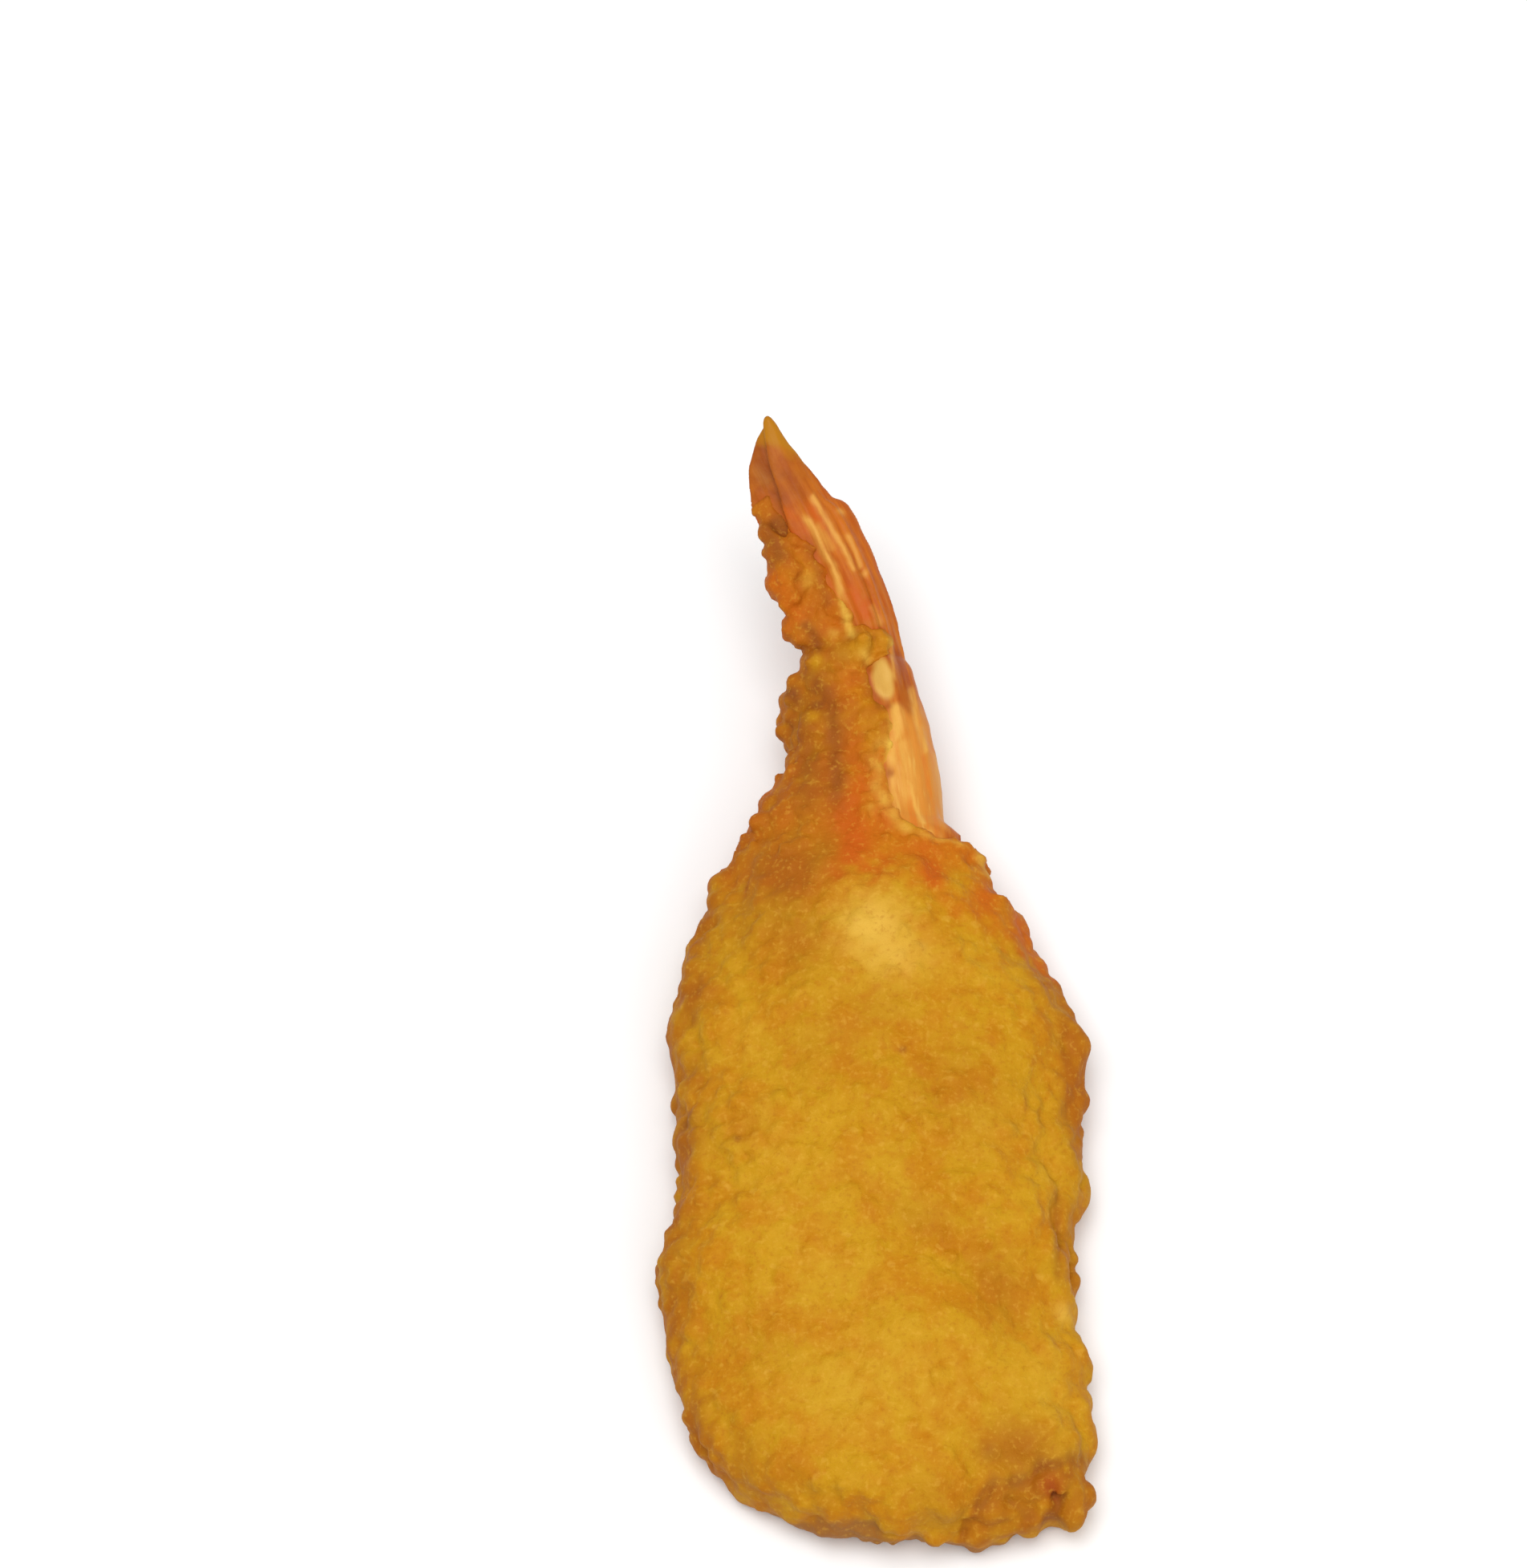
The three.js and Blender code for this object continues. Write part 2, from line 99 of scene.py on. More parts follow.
# ------------------------------------
# Curves and shaping


def smooth(value, start, end):
    """From 0 at the start to 1 at the end, level beyond them."""
    share = np.clip((value - start) / (end - start), 0, 1)
    return share * share * (3 - 2 * share)


def bell(distance, width):
    """1 at no distance, falling off to nearly 0 at twice the width."""
    return np.exp(-((distance / width) ** 2))


def spot(x, y, at, width, scale=(1, 1), shift=0.0):
    """1 in the middle of a round mark, falling off round it. A scale below 1 makes it longer that way."""
    return bell(np.hypot((x - at[0]) * scale[0], (y - at[1]) * scale[1]) + shift, width)


def read_off(value, line):
    """The second numbers of a line's points, read off at the given first ones."""
    return np.interp(value, [first for first, _ in line], [second for _, second in line])


def signed_power(value, power):
    return np.sign(value) * np.abs(value) ** power


def corner(length, full, power=2.2):
    """From 0 at an end to 1 at the given length from it, as a rounded corner widens."""
    short = 1 - np.clip(length / full, 0, 1)
    return (1 - short**power) ** (1 / power)


def line_gap(u, v, line):
    """The distance to a line through the given points."""
    gap = np.full(np.shape(u), 1e3)
    for start, end in zip(np.array(line), np.array(line[1:])):
        along = end - start
        share = np.clip(((u - start[0]) * along[0] + (v - start[1]) * along[1]) / (along @ along), 0, 1)
        gap = np.minimum(gap, np.hypot(u - start[0] - share * along[0], v - start[1] - share * along[1]))
    return gap


def smooth_max(a, b, blend):
    """The larger of two distances, rounded where they meet."""
    near = np.maximum(blend - np.abs(a - b), 0) / blend
    return np.maximum(a, b) + near * near * blend / 4


def smooth_min(a, b, blend):
    return -smooth_max(-a, -b, blend)


def centripetal_curve(points, per_span=40):
    """Points along a smooth curve through the given ones, closely spaced."""
    given = np.array(points, float)
    given = np.vstack([2 * given[0] - given[1], given, 2 * given[-1] - given[-2]])
    share = np.linspace(0, 1, per_span, endpoint=False)[:, None]
    curve = []
    for a, b, c, d in zip(given, given[1:], given[2:], given[3:]):
        before, span, after = (np.sum((q - p) ** 2) ** 0.25 for p, q in ((a, b), (b, c), (c, d)))
        start = ((b - a) / before - (c - a) / (before + span) + (c - b) / span) * span
        end = ((c - b) / span - (d - b) / (span + after) + (d - c) / after) * span
        curve.append(
            b
            + start * share
            + (3 * (c - b) - 2 * start - end) * share**2
            + (2 * (b - c) + start + end) * share**3
        )
    return np.vstack([*curve, given[-2]])


# ------------------------------------
# The tail's own directions

CENTRE_POINTS = 240  # how many points of the tail's centre line are kept
COARSE_STEP = 3  # the nearest of them is first looked for among every third
AT_A_TIME = 20000  # so many points are placed together, to spare memory


class TailLine:
    """The tail's centre line.

    A place on the tail is a length from the neck, a distance across to the right and a height out of its
    upper face.
    """

    def __init__(self, points):
        curve = centripetal_curve(points)
        steps = np.linalg.norm(np.diff(curve, axis=0), axis=1)
        lengths = np.concatenate([[0], np.cumsum(steps)])
        self.total = lengths[-1]
        self.lengths = np.linspace(0, self.total, CENTRE_POINTS)
        self.centres = np.stack([np.interp(self.lengths, lengths, curve[:, i]) for i in range(3)], axis=1)
        ahead = np.gradient(self.centres, self.lengths, axis=0)
        self.ahead = ahead / np.linalg.norm(ahead, axis=1, keepdims=True)
        right = np.cross(self.ahead, (0, 0, 1))
        self.right = right / np.linalg.norm(right, axis=1, keepdims=True)
        self.up = np.cross(self.right, self.ahead)

    def at(self, length, across, height):
        """Where a place on the tail is, in the part's millimetres."""
        nearest, _, right, up = self._frame(length)
        return nearest + right * across[..., None] + up * height[..., None]

    def place(self, points):
        """The length, the distance across and the height of each point."""
        length = np.zeros(len(points))
        for first in range(0, len(points), AT_A_TIME):
            some = points[first : first + AT_A_TIME]
            gap = ((some[:, None, :] - self.centres[None, ::COARSE_STEP, :]) ** 2).sum(2)
            length[first : first + AT_A_TIME] = self.lengths[::COARSE_STEP][gap.argmin(1)]
        for _ in range(2):
            nearest, ahead, _, _ = self._frame(length)
            length = length + ((points - nearest) * ahead).sum(1)
        nearest, _, right, up = self._frame(length)
        away = points - nearest
        return length, (away * right).sum(1), (away * up).sum(1)

    def _frame(self, length):
        """The line's points at lengths, and its directions there. Past its ends it runs on straight."""
        inside = np.clip(length, 0, self.total)
        ahead, right, up, centre = (
            np.stack([np.interp(inside, self.lengths, values[:, i]) for i in range(3)], axis=-1)
            for values in (self.ahead, self.right, self.up, self.centres)
        )
        return centre + ahead * (length - inside)[..., None], ahead, right, up


tail = TailLine(TAIL_POINTS)
FAN_LENGTH = tail.total - SHELL_LENGTH

# ------------------------------------
# Boxes of voxels


class Volume:
    """Distances to a surface on a grid of voxels, in the part's millimetres."""

    def __init__(self, low, high, voxel):
        self.voxel = voxel
        self.first = np.floor(np.array(low) / voxel).astype(int)
        self.count = np.ceil(np.array(high) / voxel).astype(int) - self.first + 1
        axes = [((self.first[i] + np.arange(self.count[i])) * voxel).astype(np.float32) for i in range(3)]
        self.axes = axes
        self.x, self.y, self.z = np.ix_(*axes)

    def from_mesh(self, points, triangles):
        """Distances to a closed mesh, cut off at BAND."""
        transform = vdb.createLinearTransform(voxelSize=self.voxel)
        grid = vdb.FloatGrid.createLevelSetFromPolygons(
            points.astype(np.float32),
            triangles=triangles.astype(np.uint32),
            transform=transform,
            halfWidth=BAND / self.voxel,
        )
        values = np.empty(self.count, np.float32)
        grid.copyToArray(values, ijk=tuple(int(i) for i in self.first))
        return values

    def to_mesh(self, values):
        """The surface where the distance is 0, as points and quads."""
        grid = vdb.FloatGrid(BAND)
        grid.transform = vdb.createLinearTransform(voxelSize=self.voxel)
        grid.copyFromArray(np.ascontiguousarray(values, np.float32), ijk=tuple(int(i) for i in self.first))
        points, quads = grid.convertToQuads(isovalue=0.0)
        return np.array(points, float), np.array(quads[:, ::-1], np.int64)

    def noise(self, size, seed):
        """Smooth noise about -1 to 1 whose lumps are size millimetres apart."""
        rng = np.random.default_rng(seed)
        rows = [spline_rows(axis / size) for axis in self.axes]
        lattice = rng.standard_normal([row.shape[1] for row in rows]).astype(np.float32)
        field = np.tensordot(rows[0], lattice, (1, 0))
        field = np.matmul(rows[1], field)
        return np.matmul(field, rows[2].T) * NOISE_GAIN

    def sample(self, values, points):
        """Values at points, from the eight voxels round each."""
        at = points / self.voxel - self.first
        base = np.clip(np.floor(at).astype(int), 0, self.count - 2)
        share = np.clip(at - base, 0, 1)
        total = np.zeros(len(points))
        for i in (0, 1):
            for j in (0, 1):
                for k in (0, 1):
                    weight = 1.0
                    for axis, step in enumerate((i, j, k)):
                        weight = weight * (share[:, axis] if step else 1 - share[:, axis])
                    total += weight * values[base[:, 0] + i, base[:, 1] + j, base[:, 2] + k]
        return total


def spline_rows(at):
    """For each place, the weights of a cubic B-spline's lattice points."""
    first = math.floor(float(at[0])) - 1
    base = np.floor(at).astype(int)
    share = at - base
    weights = (
        (1 - share) ** 3 / 6,
        (3 * share**3 - 6 * share**2 + 4) / 6,
        (-3 * share**3 + 3 * share**2 + 3 * share + 1) / 6,
        share**3 / 6,
    )
    rows = np.zeros((len(at), int(base[-1]) + 3 - first + 1), np.float32)
    for step, weight in enumerate(weights):
        rows[np.arange(len(at)), base - 1 + step - first] = weight
    return rows


def blurred(values, sigma):
    """A Gaussian blur, sigma in voxels."""
    reach = math.ceil(3 * sigma)
    kernel = np.exp(-0.5 * (np.arange(-reach, reach + 1) / sigma) ** 2)
    kernel = (kernel / kernel.sum()).astype(np.float32)
    for axis in range(3):
        padded = np.pad(values, [(reach, reach) if i == axis else (0, 0) for i in range(3)], mode="edge")
        size = values.shape[axis]
        values = sum(
            weight * np.take(padded, range(step, step + size), axis=axis)
            for step, weight in enumerate(kernel)
        )
    return values


def layered(volume, layers, shape=np.positive):
    """Noises added up, from the height, the size of the lumps and the seed of each."""
    return sum(height * shape(volume.noise(size, seed)) for height, size, seed in layers)


# ------------------------------------
# The coating

FACET_SOFTENING = 0.6  # the solid's facets are smoothed over about this distance
FLOOR_GAP = 0.02  # the coating is cut off flat this far above the floor

# Relief, as the height, the size of the lumps and the seed of each noise
BODY_RELIEF = [(0.14, 5.0, 1), (0.13, 2.6, 2), (0.06, 1.3, 3)]
CRAGS = [(0.6, 2.6, 5), (0.35, 1.4, 6)]
UNEVEN_HEM = [(0.45, 1.7, 7), (0.35, 0.8, 8)]
RAGGED_EDGES = [(0.9, 2.2, 9), (0.5, 1.1, 10)]
SHELL_WEAR = [(0.05, 1.3, 21), (0.03, 0.6, 22)]

# How deep or high the coating's marks are
CRAG_PITS = 0.3
PATCH_DEPTH = 0.6
LEDGE_DEPTH = 0.25
GROOVE_DEPTH = 0.3
CREASE_DEPTH = 0.12
FLAKE_HEIGHT = 0.3

# How many crumbs there are, and how uneven they are
SIDE_CRUMBS = 2800
TOP_CRUMBS = 900
TAIL_LUMPS = 170
HEM_CRUMBS = 520
CRUMB_STRETCH = (0.7, 1.3)

# How far right the coating reaches on the tail, by length from the neck
HEM = [
    (-3.6, 8.5), (-2.6, 4.6), (-1.2, 1.4), (1.0, -0.2), (4.0, -0.7), (7.0, -0.2), (10.0, 0.5), (12.4, 1.0),
    (13.2, 0.0), (16.6, -0.1), (17.6, 2.2), (20.2, 2.4), (21.2, -1.0), (26.0, -1.3), (33.0, -2.0),
    (37.0, -3.0),
]
HEM_END = 36.0  # the length at which the coating ends
FILM = 0.2  # how thick the coating is over the shell, near its hem

# The oval where the knob shows through the coating, by length and distance across
OVAL_AT = (15.2, 1.0)

# Lines on the body, as x and y: the step round the broken crust, and the crease
BREAK_EDGE = [
    (7.8, -1.5), (9.1, 1.5), (10.4, 2.3), (11.6, 3.8), (12.1, 4.3), (14.3, 4.4), (15.8, 5.9), (18.4, 6.1),
    (20.0, 7.4),
]
BREAK_LEFT = (7.8, 9.0)  # the broken crust fades in between these x
BREAK_LOW = (2.4, 3.8)  # and between these heights
CREASE_LINE = [(-1.6, 32.7), (4.6, 28.6), (11.8, 23.1), (14.1, 19.4)]

# How high the front end's dark edge of painted shade reaches, by x
FRONT_SHADE = [
    (-9, 1.5), (-7.4, 3.3), (-4.7, 4.4), (-2.7, 5.9), (-0.8, 6.3), (1.2, 5.7), (3.1, 4.5), (5.1, 3.6),
    (7.5, 3.3), (9.8, 3.0), (11, 2.2), (16, 2), (17, 0),
]

# The notch in the front end: its middle, and how far it reaches from there to each side and along
NOTCH_AT = (17.4, -0.4)
NOTCH_SIZE = (1.5, 2.5)

# The edge of the crust that hangs over the right side, and the stretch that it hangs over
OVERHANG_X = 17.7
OVERHANG_Y = (24.0, 33.2)

# Round marks on the body
FLAKE = dict(at=(-17.6, 33), width=1.4)
# A paler spot on the hump's top, partly paler crust and partly painted highlight
HUMP = dict(at=(0.8, 58.2), width=3.0, scale=(1, 0.9))
HUMP_FOOT = dict(at=(2.6, 55.6), width=2.4, scale=(0.8, 1))
# Painted shade over the crevices on the neck's left
CREVICE_SHADE = dict(at=(-8.0, 64.5), width=4.2, scale=(1, 0.8))
RED_SPOT = dict(at=(17.2, 3.9), width=0.8)
# Painted shade of a pit on the left
LEFT_PIT = dict(at=(-16.9, 40.3), width=0.8)
BARE_SPOT = dict(at=(18.6, 21.3), width=0.9)
DOTS = [dict(at=(-12.0, 37.0), width=0.4), dict(at=(3.6, 45.6), width=0.35)]
FAINT_DOT = dict(at=(11.4, 6.8), width=0.8)
ON_TOP = 3.0  # marks of the upper face end at this height


def cad_mesh():
    """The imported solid's points, in the part's millimetres, and its triangles."""
    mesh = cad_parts[NODE].data
    points = np.empty(len(mesh.vertices) * 3, np.float32)
    mesh.vertices.foreach_get("co", points)
    mesh.calc_loop_triangles()
    triangles = np.empty(len(mesh.loop_triangles) * 3, np.int32)
    mesh.loop_triangles.foreach_get("vertices", triangles)
    return points.reshape(-1, 3) * METRE - PART_ZERO, triangles.reshape(-1, 3)


def coat_volume():
    points, triangles = cad_mesh()
    margin = BAND + 0.5
    volume = Volume(points.min(0) - margin, points.max(0) + margin, COAT_VOXEL)
    smoothed = blurred(volume.from_mesh(points, triangles), FACET_SOFTENING / COAT_VOXEL)
    return volume, smoothed


def inwardness(volume, base, width):
    """1 well inside the part's outline as seen from above, about 0.5 at the outline and 0 outside it."""
    footprint = (base.min(axis=2, keepdims=True) < 0).astype(np.float32)
    return np.broadcast_to(blurred(footprint, width / volume.voxel), base.shape)


def tail_places(volume, values, start_y, end_y):
    """Which voxels between two Y's lie in the solid or near it, with their length and distance across."""
    between = (volume.y > start_y) & (volume.y < end_y) & (values < BAND - 0.2)
    where = np.nonzero(between)
    points = np.stack([axis[index] for axis, index in zip(volume.axes, where)], axis=1).astype(float)
    length, across, _ = tail.place(points)
    return where, length, across


def hem_gap(length, across):
    """How far beyond the coating's hem a place on the tail is, to the right of it or past its end."""
    return np.maximum(across - read_off(length, HEM), length - HEM_END)


def broken(x, y, z, ragged=0.0):
    """1 inside the patch of broken crust and 0 outside it."""
    inside = 1 - smooth(y - read_off(x, BREAK_EDGE) + ragged, -0.6, 0.3)
    return inside * smooth(x + ragged, *BREAK_LEFT) * smooth(z, *BREAK_LOW)


def overhang(x, y):
    """1 on the lower ledge right of the overhanging crust, and a groove along its edge."""
    within = smooth(y, OVERHANG_Y[0] - 0.8, OVERHANG_Y[0] + 0.8)
    within = within * (1 - smooth(y, OVERHANG_Y[1] - 0.4, OVERHANG_Y[1] + 0.4))
    return smooth(x, OVERHANG_X, OVERHANG_X + 0.6) * within, bell(x - OVERHANG_X - 0.3, 0.4) * within


def scatter(points, weights, count, seed):
    """Numbers of points picked at random, more often where the weight is large."""
    rng = np.random.default_rng(seed)
    odds = np.maximum(weights, 0)
    odds = odds / odds.sum()
    return rng.choice(len(points), size=count, replace=False, p=odds)


def stamp_crumbs(volume, values, centres, radii, blend, seed):
    """Rounds uneven crumbs into a volume, each blended into what is there."""
    rng = np.random.default_rng(seed)
    stretches = radii[:, None] * rng.uniform(*CRUMB_STRETCH, (len(centres), 3))
    for centre, stretch in zip(centres, stretches):
        reach = stretch.max() + blend
        low = np.ceil((centre - reach) / volume.voxel).astype(int) - volume.first
        high = np.floor((centre + reach) / volume.voxel).astype(int) - volume.first + 1
        low, high = np.maximum(low, 0), np.minimum(high, volume.count)
        box = tuple(slice(a, b) for a, b in zip(low, high))
        away = np.ix_(*(axis[a:b] - at for axis, a, b, at in zip(volume.axes, low, high, centre)))
        size = np.sqrt(sum((gap / wide) ** 2 for gap, wide in zip(away, stretch)))
        slope = np.sqrt(sum((gap / wide**2) ** 2 for gap, wide in zip(away, stretch)))
        values[box] = smooth_min(values[box], size * (size - 1) / (slope + 1e-6), blend)


def bed_crumbs(volume, base, coat, places, radii, sunk, blend, seed):
    """Crumbs whose middles lie below the solid's surface, by a share of their radius."""
    depth = outward(volume, base, places) * (sunk * radii)[:, None]
    stamp_crumbs(volume, coat, places - depth, radii, blend, seed)


def craggy_sides(volume, base, up):
    """1 on the sides, which are craggier, and less in front."""
    inward = inwardness(volume, base, width=2.4)
    side = np.maximum(1 - smooth(up, 0.3, 0.8), 1 - smooth(inward, 0.5, 0.8))
    return side * (1 - 0.85 * (1 - smooth(volume.y, 3, 9)) * (1 - smooth(volume.x, 8, 11)))


def body_relief(volume, up, side):
    """How far the coating stands out of the solid, before its crumbs."""
    x, y, z = volume.x, volume.y, volume.z
    ragged = layered(volume, RAGGED_EDGES)
    patch = broken(x, y, z, ragged)
    ledge, groove = overhang(x + 0.35 * ragged, y)
    on_tail = smooth(y, NECK_AT - 1, NECK_AT + 6)
    rough = np.clip(np.maximum(side * (1 - 0.6 * on_tail), 0.8 * patch), 0, 1)
    relief = layered(volume, BODY_RELIEF) + rough * (layered(volume, CRAGS, np.abs) - CRAG_PITS)
    relief = relief - PATCH_DEPTH * patch - LEDGE_DEPTH * ledge - GROOVE_DEPTH * groove
    relief = relief + FLAKE_HEIGHT * spot(x, y, **FLAKE)
    return relief - CREASE_DEPTH * bell(line_gap(x, y, CREASE_LINE), 1.2) * smooth(up, 0.3, 0.7)


def add_body_crumbs(volume, base, coat, side):
    """Coarse crumbs, most of them on the sides, and smaller ones on top."""
    surface, _ = volume.to_mesh(base)
    edge = volume.sample(side, surface)
    tailward = smooth(surface[:, 1], NECK_AT - 4, NECK_AT + 6)
    above = surface[:, 2] > 0.7
    on_sides = scatter(surface, (edge + 0.01) * (1 - 0.5 * tailward) * above, SIDE_CRUMBS, 41)
    on_top = scatter(surface, (1 - edge) * (1 - tailward) * above, TOP_CRUMBS, 42)
    rng = np.random.default_rng(43)
    radii = 0.3 + 0.8 * rng.random(SIDE_CRUMBS) ** 1.7
    bed_crumbs(volume, base, coat, surface[on_sides], radii, sunk=0.35, blend=0.5, seed=44)
    radii = rng.uniform(0.35, 0.75, TOP_CRUMBS)
    bed_crumbs(volume, base, coat, surface[on_top], radii, sunk=0.55, blend=0.7, seed=45)


def make_coat():
    volume, base = coat_volume()
    up = np.gradient(base, volume.voxel, axis=2)
    side = craggy_sides(volume, base, up)
    coat = base - body_relief(volume, up, side)
    add_body_crumbs(volume, base, coat, side)
    (wide, deep), (notch_x, notch_y) = NOTCH_SIZE, NOTCH_AT
    notch = (1 - np.hypot((volume.x - notch_x) / wide, (volume.y - notch_y) / deep)) * wide
    coat = smooth_max(coat, notch, 0.4)
    thin_at_hem(volume, base, coat)
    add_tail_crumbs(volume, coat)
    return volume, base, np.maximum(coat, FLOOR_GAP - volume.z)


def thin_at_hem(volume, base, coat):
    """On the tail the coating thins out to a film over the shell, and ends at its hem."""
    where, length, across = tail_places(volume, base, NECK_AT - 8, LENGTH + 3)
    film = joined_shell(bare_shell(volume)[where], base[where], length, across)
    uneven = layered(volume, UNEVEN_HEM)[where]
    beyond = hem_gap(length, across) + uneven
    film = film - FILM - 0.12 * np.abs(uneven)
    thinning = smooth(beyond, -2.4, -0.3)
    coat[where] = coat[where] * (1 - thinning) + film * thinning + 0.9 * smooth(beyond, -0.3, 0.6)
    coat[where] = smooth_max(coat[where], beyond - 0.7, 0.3)


def add_tail_crumbs(volume, coat):
    """Lumps on the tail's coating, most of them on its left, and small crumbs along its hem."""
    surface, _ = volume.to_mesh(np.maximum(coat, FLOOR_GAP - volume.z))
    surface = surface[surface[:, 1] > NECK_AT - 4]
    length, across, height = tail.place(surface)
    gap = hem_gap(length, across)
    rng = np.random.default_rng(46)
    off_oval = np.hypot((length - OVAL_AT[0]) / 4, (across - OVAL_AT[1]) / 2.2) > 1
    coated = (gap < -1.4) * (length > 1) * (length < 31) * off_oval
    lumps = surface[scatter(surface, coated * (0.3 + smooth(-across, 1, 4)), TAIL_LUMPS, 47)]
    centres = lumps - outward(volume, coat, lumps) * 0.3
    stamp_crumbs(volume, coat, centres, rng.uniform(0.35, 0.75, TAIL_LUMPS), blend=0.5, seed=48)
    near_hem = bell(gap + 0.7, 1.2) * smooth(height, 0, 1) + 0.15 * (gap < 0)
    small = surface[scatter(surface, near_hem * (length < 32) * off_oval, HEM_CRUMBS, 49)]
    stamp_crumbs(volume, coat, small, rng.uniform(0.25, 0.55, HEM_CRUMBS), blend=0.35, seed=50)


def outward(volume, values, points):
    """The directions out of a surface at points near it."""
    slopes = np.stack([volume.sample(slope, points) for slope in np.gradient(values, volume.voxel)], axis=1)
    return slopes / (np.linalg.norm(slopes, axis=1, keepdims=True) + 1e-9)


# ------------------------------------
# The bare shell of the tail


def loft(around, along, place):
    """A closed mesh from rings and two poles. place(share, angle) gives points in the part's millimetres."""
    share = np.linspace(0, 1, along + 1)[1:-1]
    angle = np.linspace(-np.pi, np.pi, around, endpoint=False)
    rings = place(*np.meshgrid(share, angle, indexing="ij"))
    poles = place(np.array([0.0, 1.0]), np.array([0.0, 0.0]))
    points = np.vstack([rings.reshape(-1, 3), poles])
    ring = np.arange(along - 2)[:, None] * around
    here = np.arange(around)[None, :]
    after = (here + 1) % around
    a, b, c, d = ring + here, ring + after, ring + around + after, ring + around + here
    sides = np.concatenate([np.stack([a, b, c], -1).reshape(-1, 3), np.stack([a, c, d], -1).reshape(-1, 3)])
    top, bottom = len(points) - 2, len(points) - 1
    last = (along - 2) * around
    flat_here, flat_after = here.ravel(), after.ravel()
    cap = np.stack([np.full(around, top), flat_after, flat_here], 1)
    base = np.stack([np.full(around, bottom), last + flat_here, last + flat_after], 1)
    return points, np.concatenate([sides, cap, base])


TUBE_START = -8.0  # the shell's tube starts inside the body
TUBE_END = SHELL_LENGTH + 2.8  # and ends inside the fan
KNOB_AT = (SHELL_LENGTH, 1.5, 2.0)  # the length, the distance across and the height
KNOB_RADII = (2.4, 1.3, 1.8)


def shell_point(share, angle):
    length = TUBE_END + (TUBE_START - TUBE_END) * share
    swell = 1 + 0.1 * bell(length - 5, 6) - 0.08 * bell(length - SHELL_LENGTH, 2.5)
    closed = np.minimum(corner(TUBE_END - length, 3), corner(length - TUBE_START, 3))
    across = SHELL_HALF_WIDTH * swell * closed * signed_power(np.cos(angle), 0.85)
    height = SHELL_HALF_HEIGHT * swell * closed * signed_power(np.sin(angle), 0.9)
    grooves = 0.06 * np.sin(across * 6.5 + 0.4 * np.sin(length * 0.7)) * smooth(np.sin(angle), -0.2, 0.4)
    return tail.at(length, across, height * (1 - 0.3 * smooth(length, 4, TUBE_END)) + grooves * closed)


def knob_point(share, angle):
    turn = np.pi * share
    length = KNOB_AT[0] + KNOB_RADII[0] * np.cos(turn)
    across = KNOB_AT[1] + KNOB_RADII[1] * np.sin(turn) * np.cos(angle)
    return tail.at(length, across, KNOB_AT[2] + KNOB_RADII[2] * np.sin(turn) * np.sin(angle))


# The fan's blades, as in the solid: half widths on the outer and the inner side, the root's shift across and
# up, the roll, which side is the outer one, the shares of the length where a blade starts to narrow and would
# come to a point, the length at which its spine ends, and where its ridges lie across it
PLAIN = dict(point=1.06, spine=0)  # without a spine
BLADES = [
    dict(length=FAN_LENGTH, outer=3.6, inner=3.6, across=0.9, height=1.3, roll=-0.1, side=1, taper=0.42,
         point=1.12, spine=17.3, ridges=(-0.3, 0.22, 0.52)),
    dict(PLAIN, length=FAN_LENGTH - 3, outer=2.8, inner=2.6, across=-0.6, height=0.6, roll=0.05, side=1,
         taper=0.5, ridges=(-0.2,)),
    dict(PLAIN, length=FAN_LENGTH - 6, outer=1.8, inner=1.8, across=0.2, height=-0.3, roll=0.0, side=1,
         taper=0.5, ridges=(0.0,)),
    dict(PLAIN, length=FAN_LENGTH - 4, outer=3.1, inner=2.4, across=-1.5, height=0.0, roll=0.14, side=-1,
         taper=0.5, ridges=(0.1,)),
    dict(PLAIN, length=FAN_LENGTH - 0.8, outer=3.9, inner=2.6, across=-1.7, height=-0.5, roll=0.22, side=-1,
         taper=0.74, ridges=(0.2,)),
]
BLADE_THICKNESS = 1.0
BLADE_ROOT = -3.5  # the blades start inside the shell
RIDGE_HEIGHT = 0.5


def blade_width(blade, length, across):
    """A blade's half width on one side, from across, and a share that falls to 0 at its two ends."""
    along = np.clip(length / blade["length"], 0, 1)
    closed = np.minimum(corner(length - BLADE_ROOT, 2.5), corner(blade["length"] - length, 1.5))
    outward_side = across * blade["side"] > 0
    spined = outward_side & (blade["spine"] > 0)
    beyond = np.where(spined, smooth(length, blade["spine"] - 0.2, blade["spine"] + 1.2), 0)
    stiff = np.where(spined, 0.16 * smooth(length, 6, max(blade["spine"], 7)), 0)
    opening = 0.84 + 0.16 * smooth(along, 0, 0.3)
    narrowing = (1 - smooth(along, blade["taper"], blade["point"])) ** 0.75
    width = opening * narrowing * closed * (1 + stiff - 0.32 * beyond)
    return width * np.where(outward_side, blade["outer"], blade["inner"]), closed


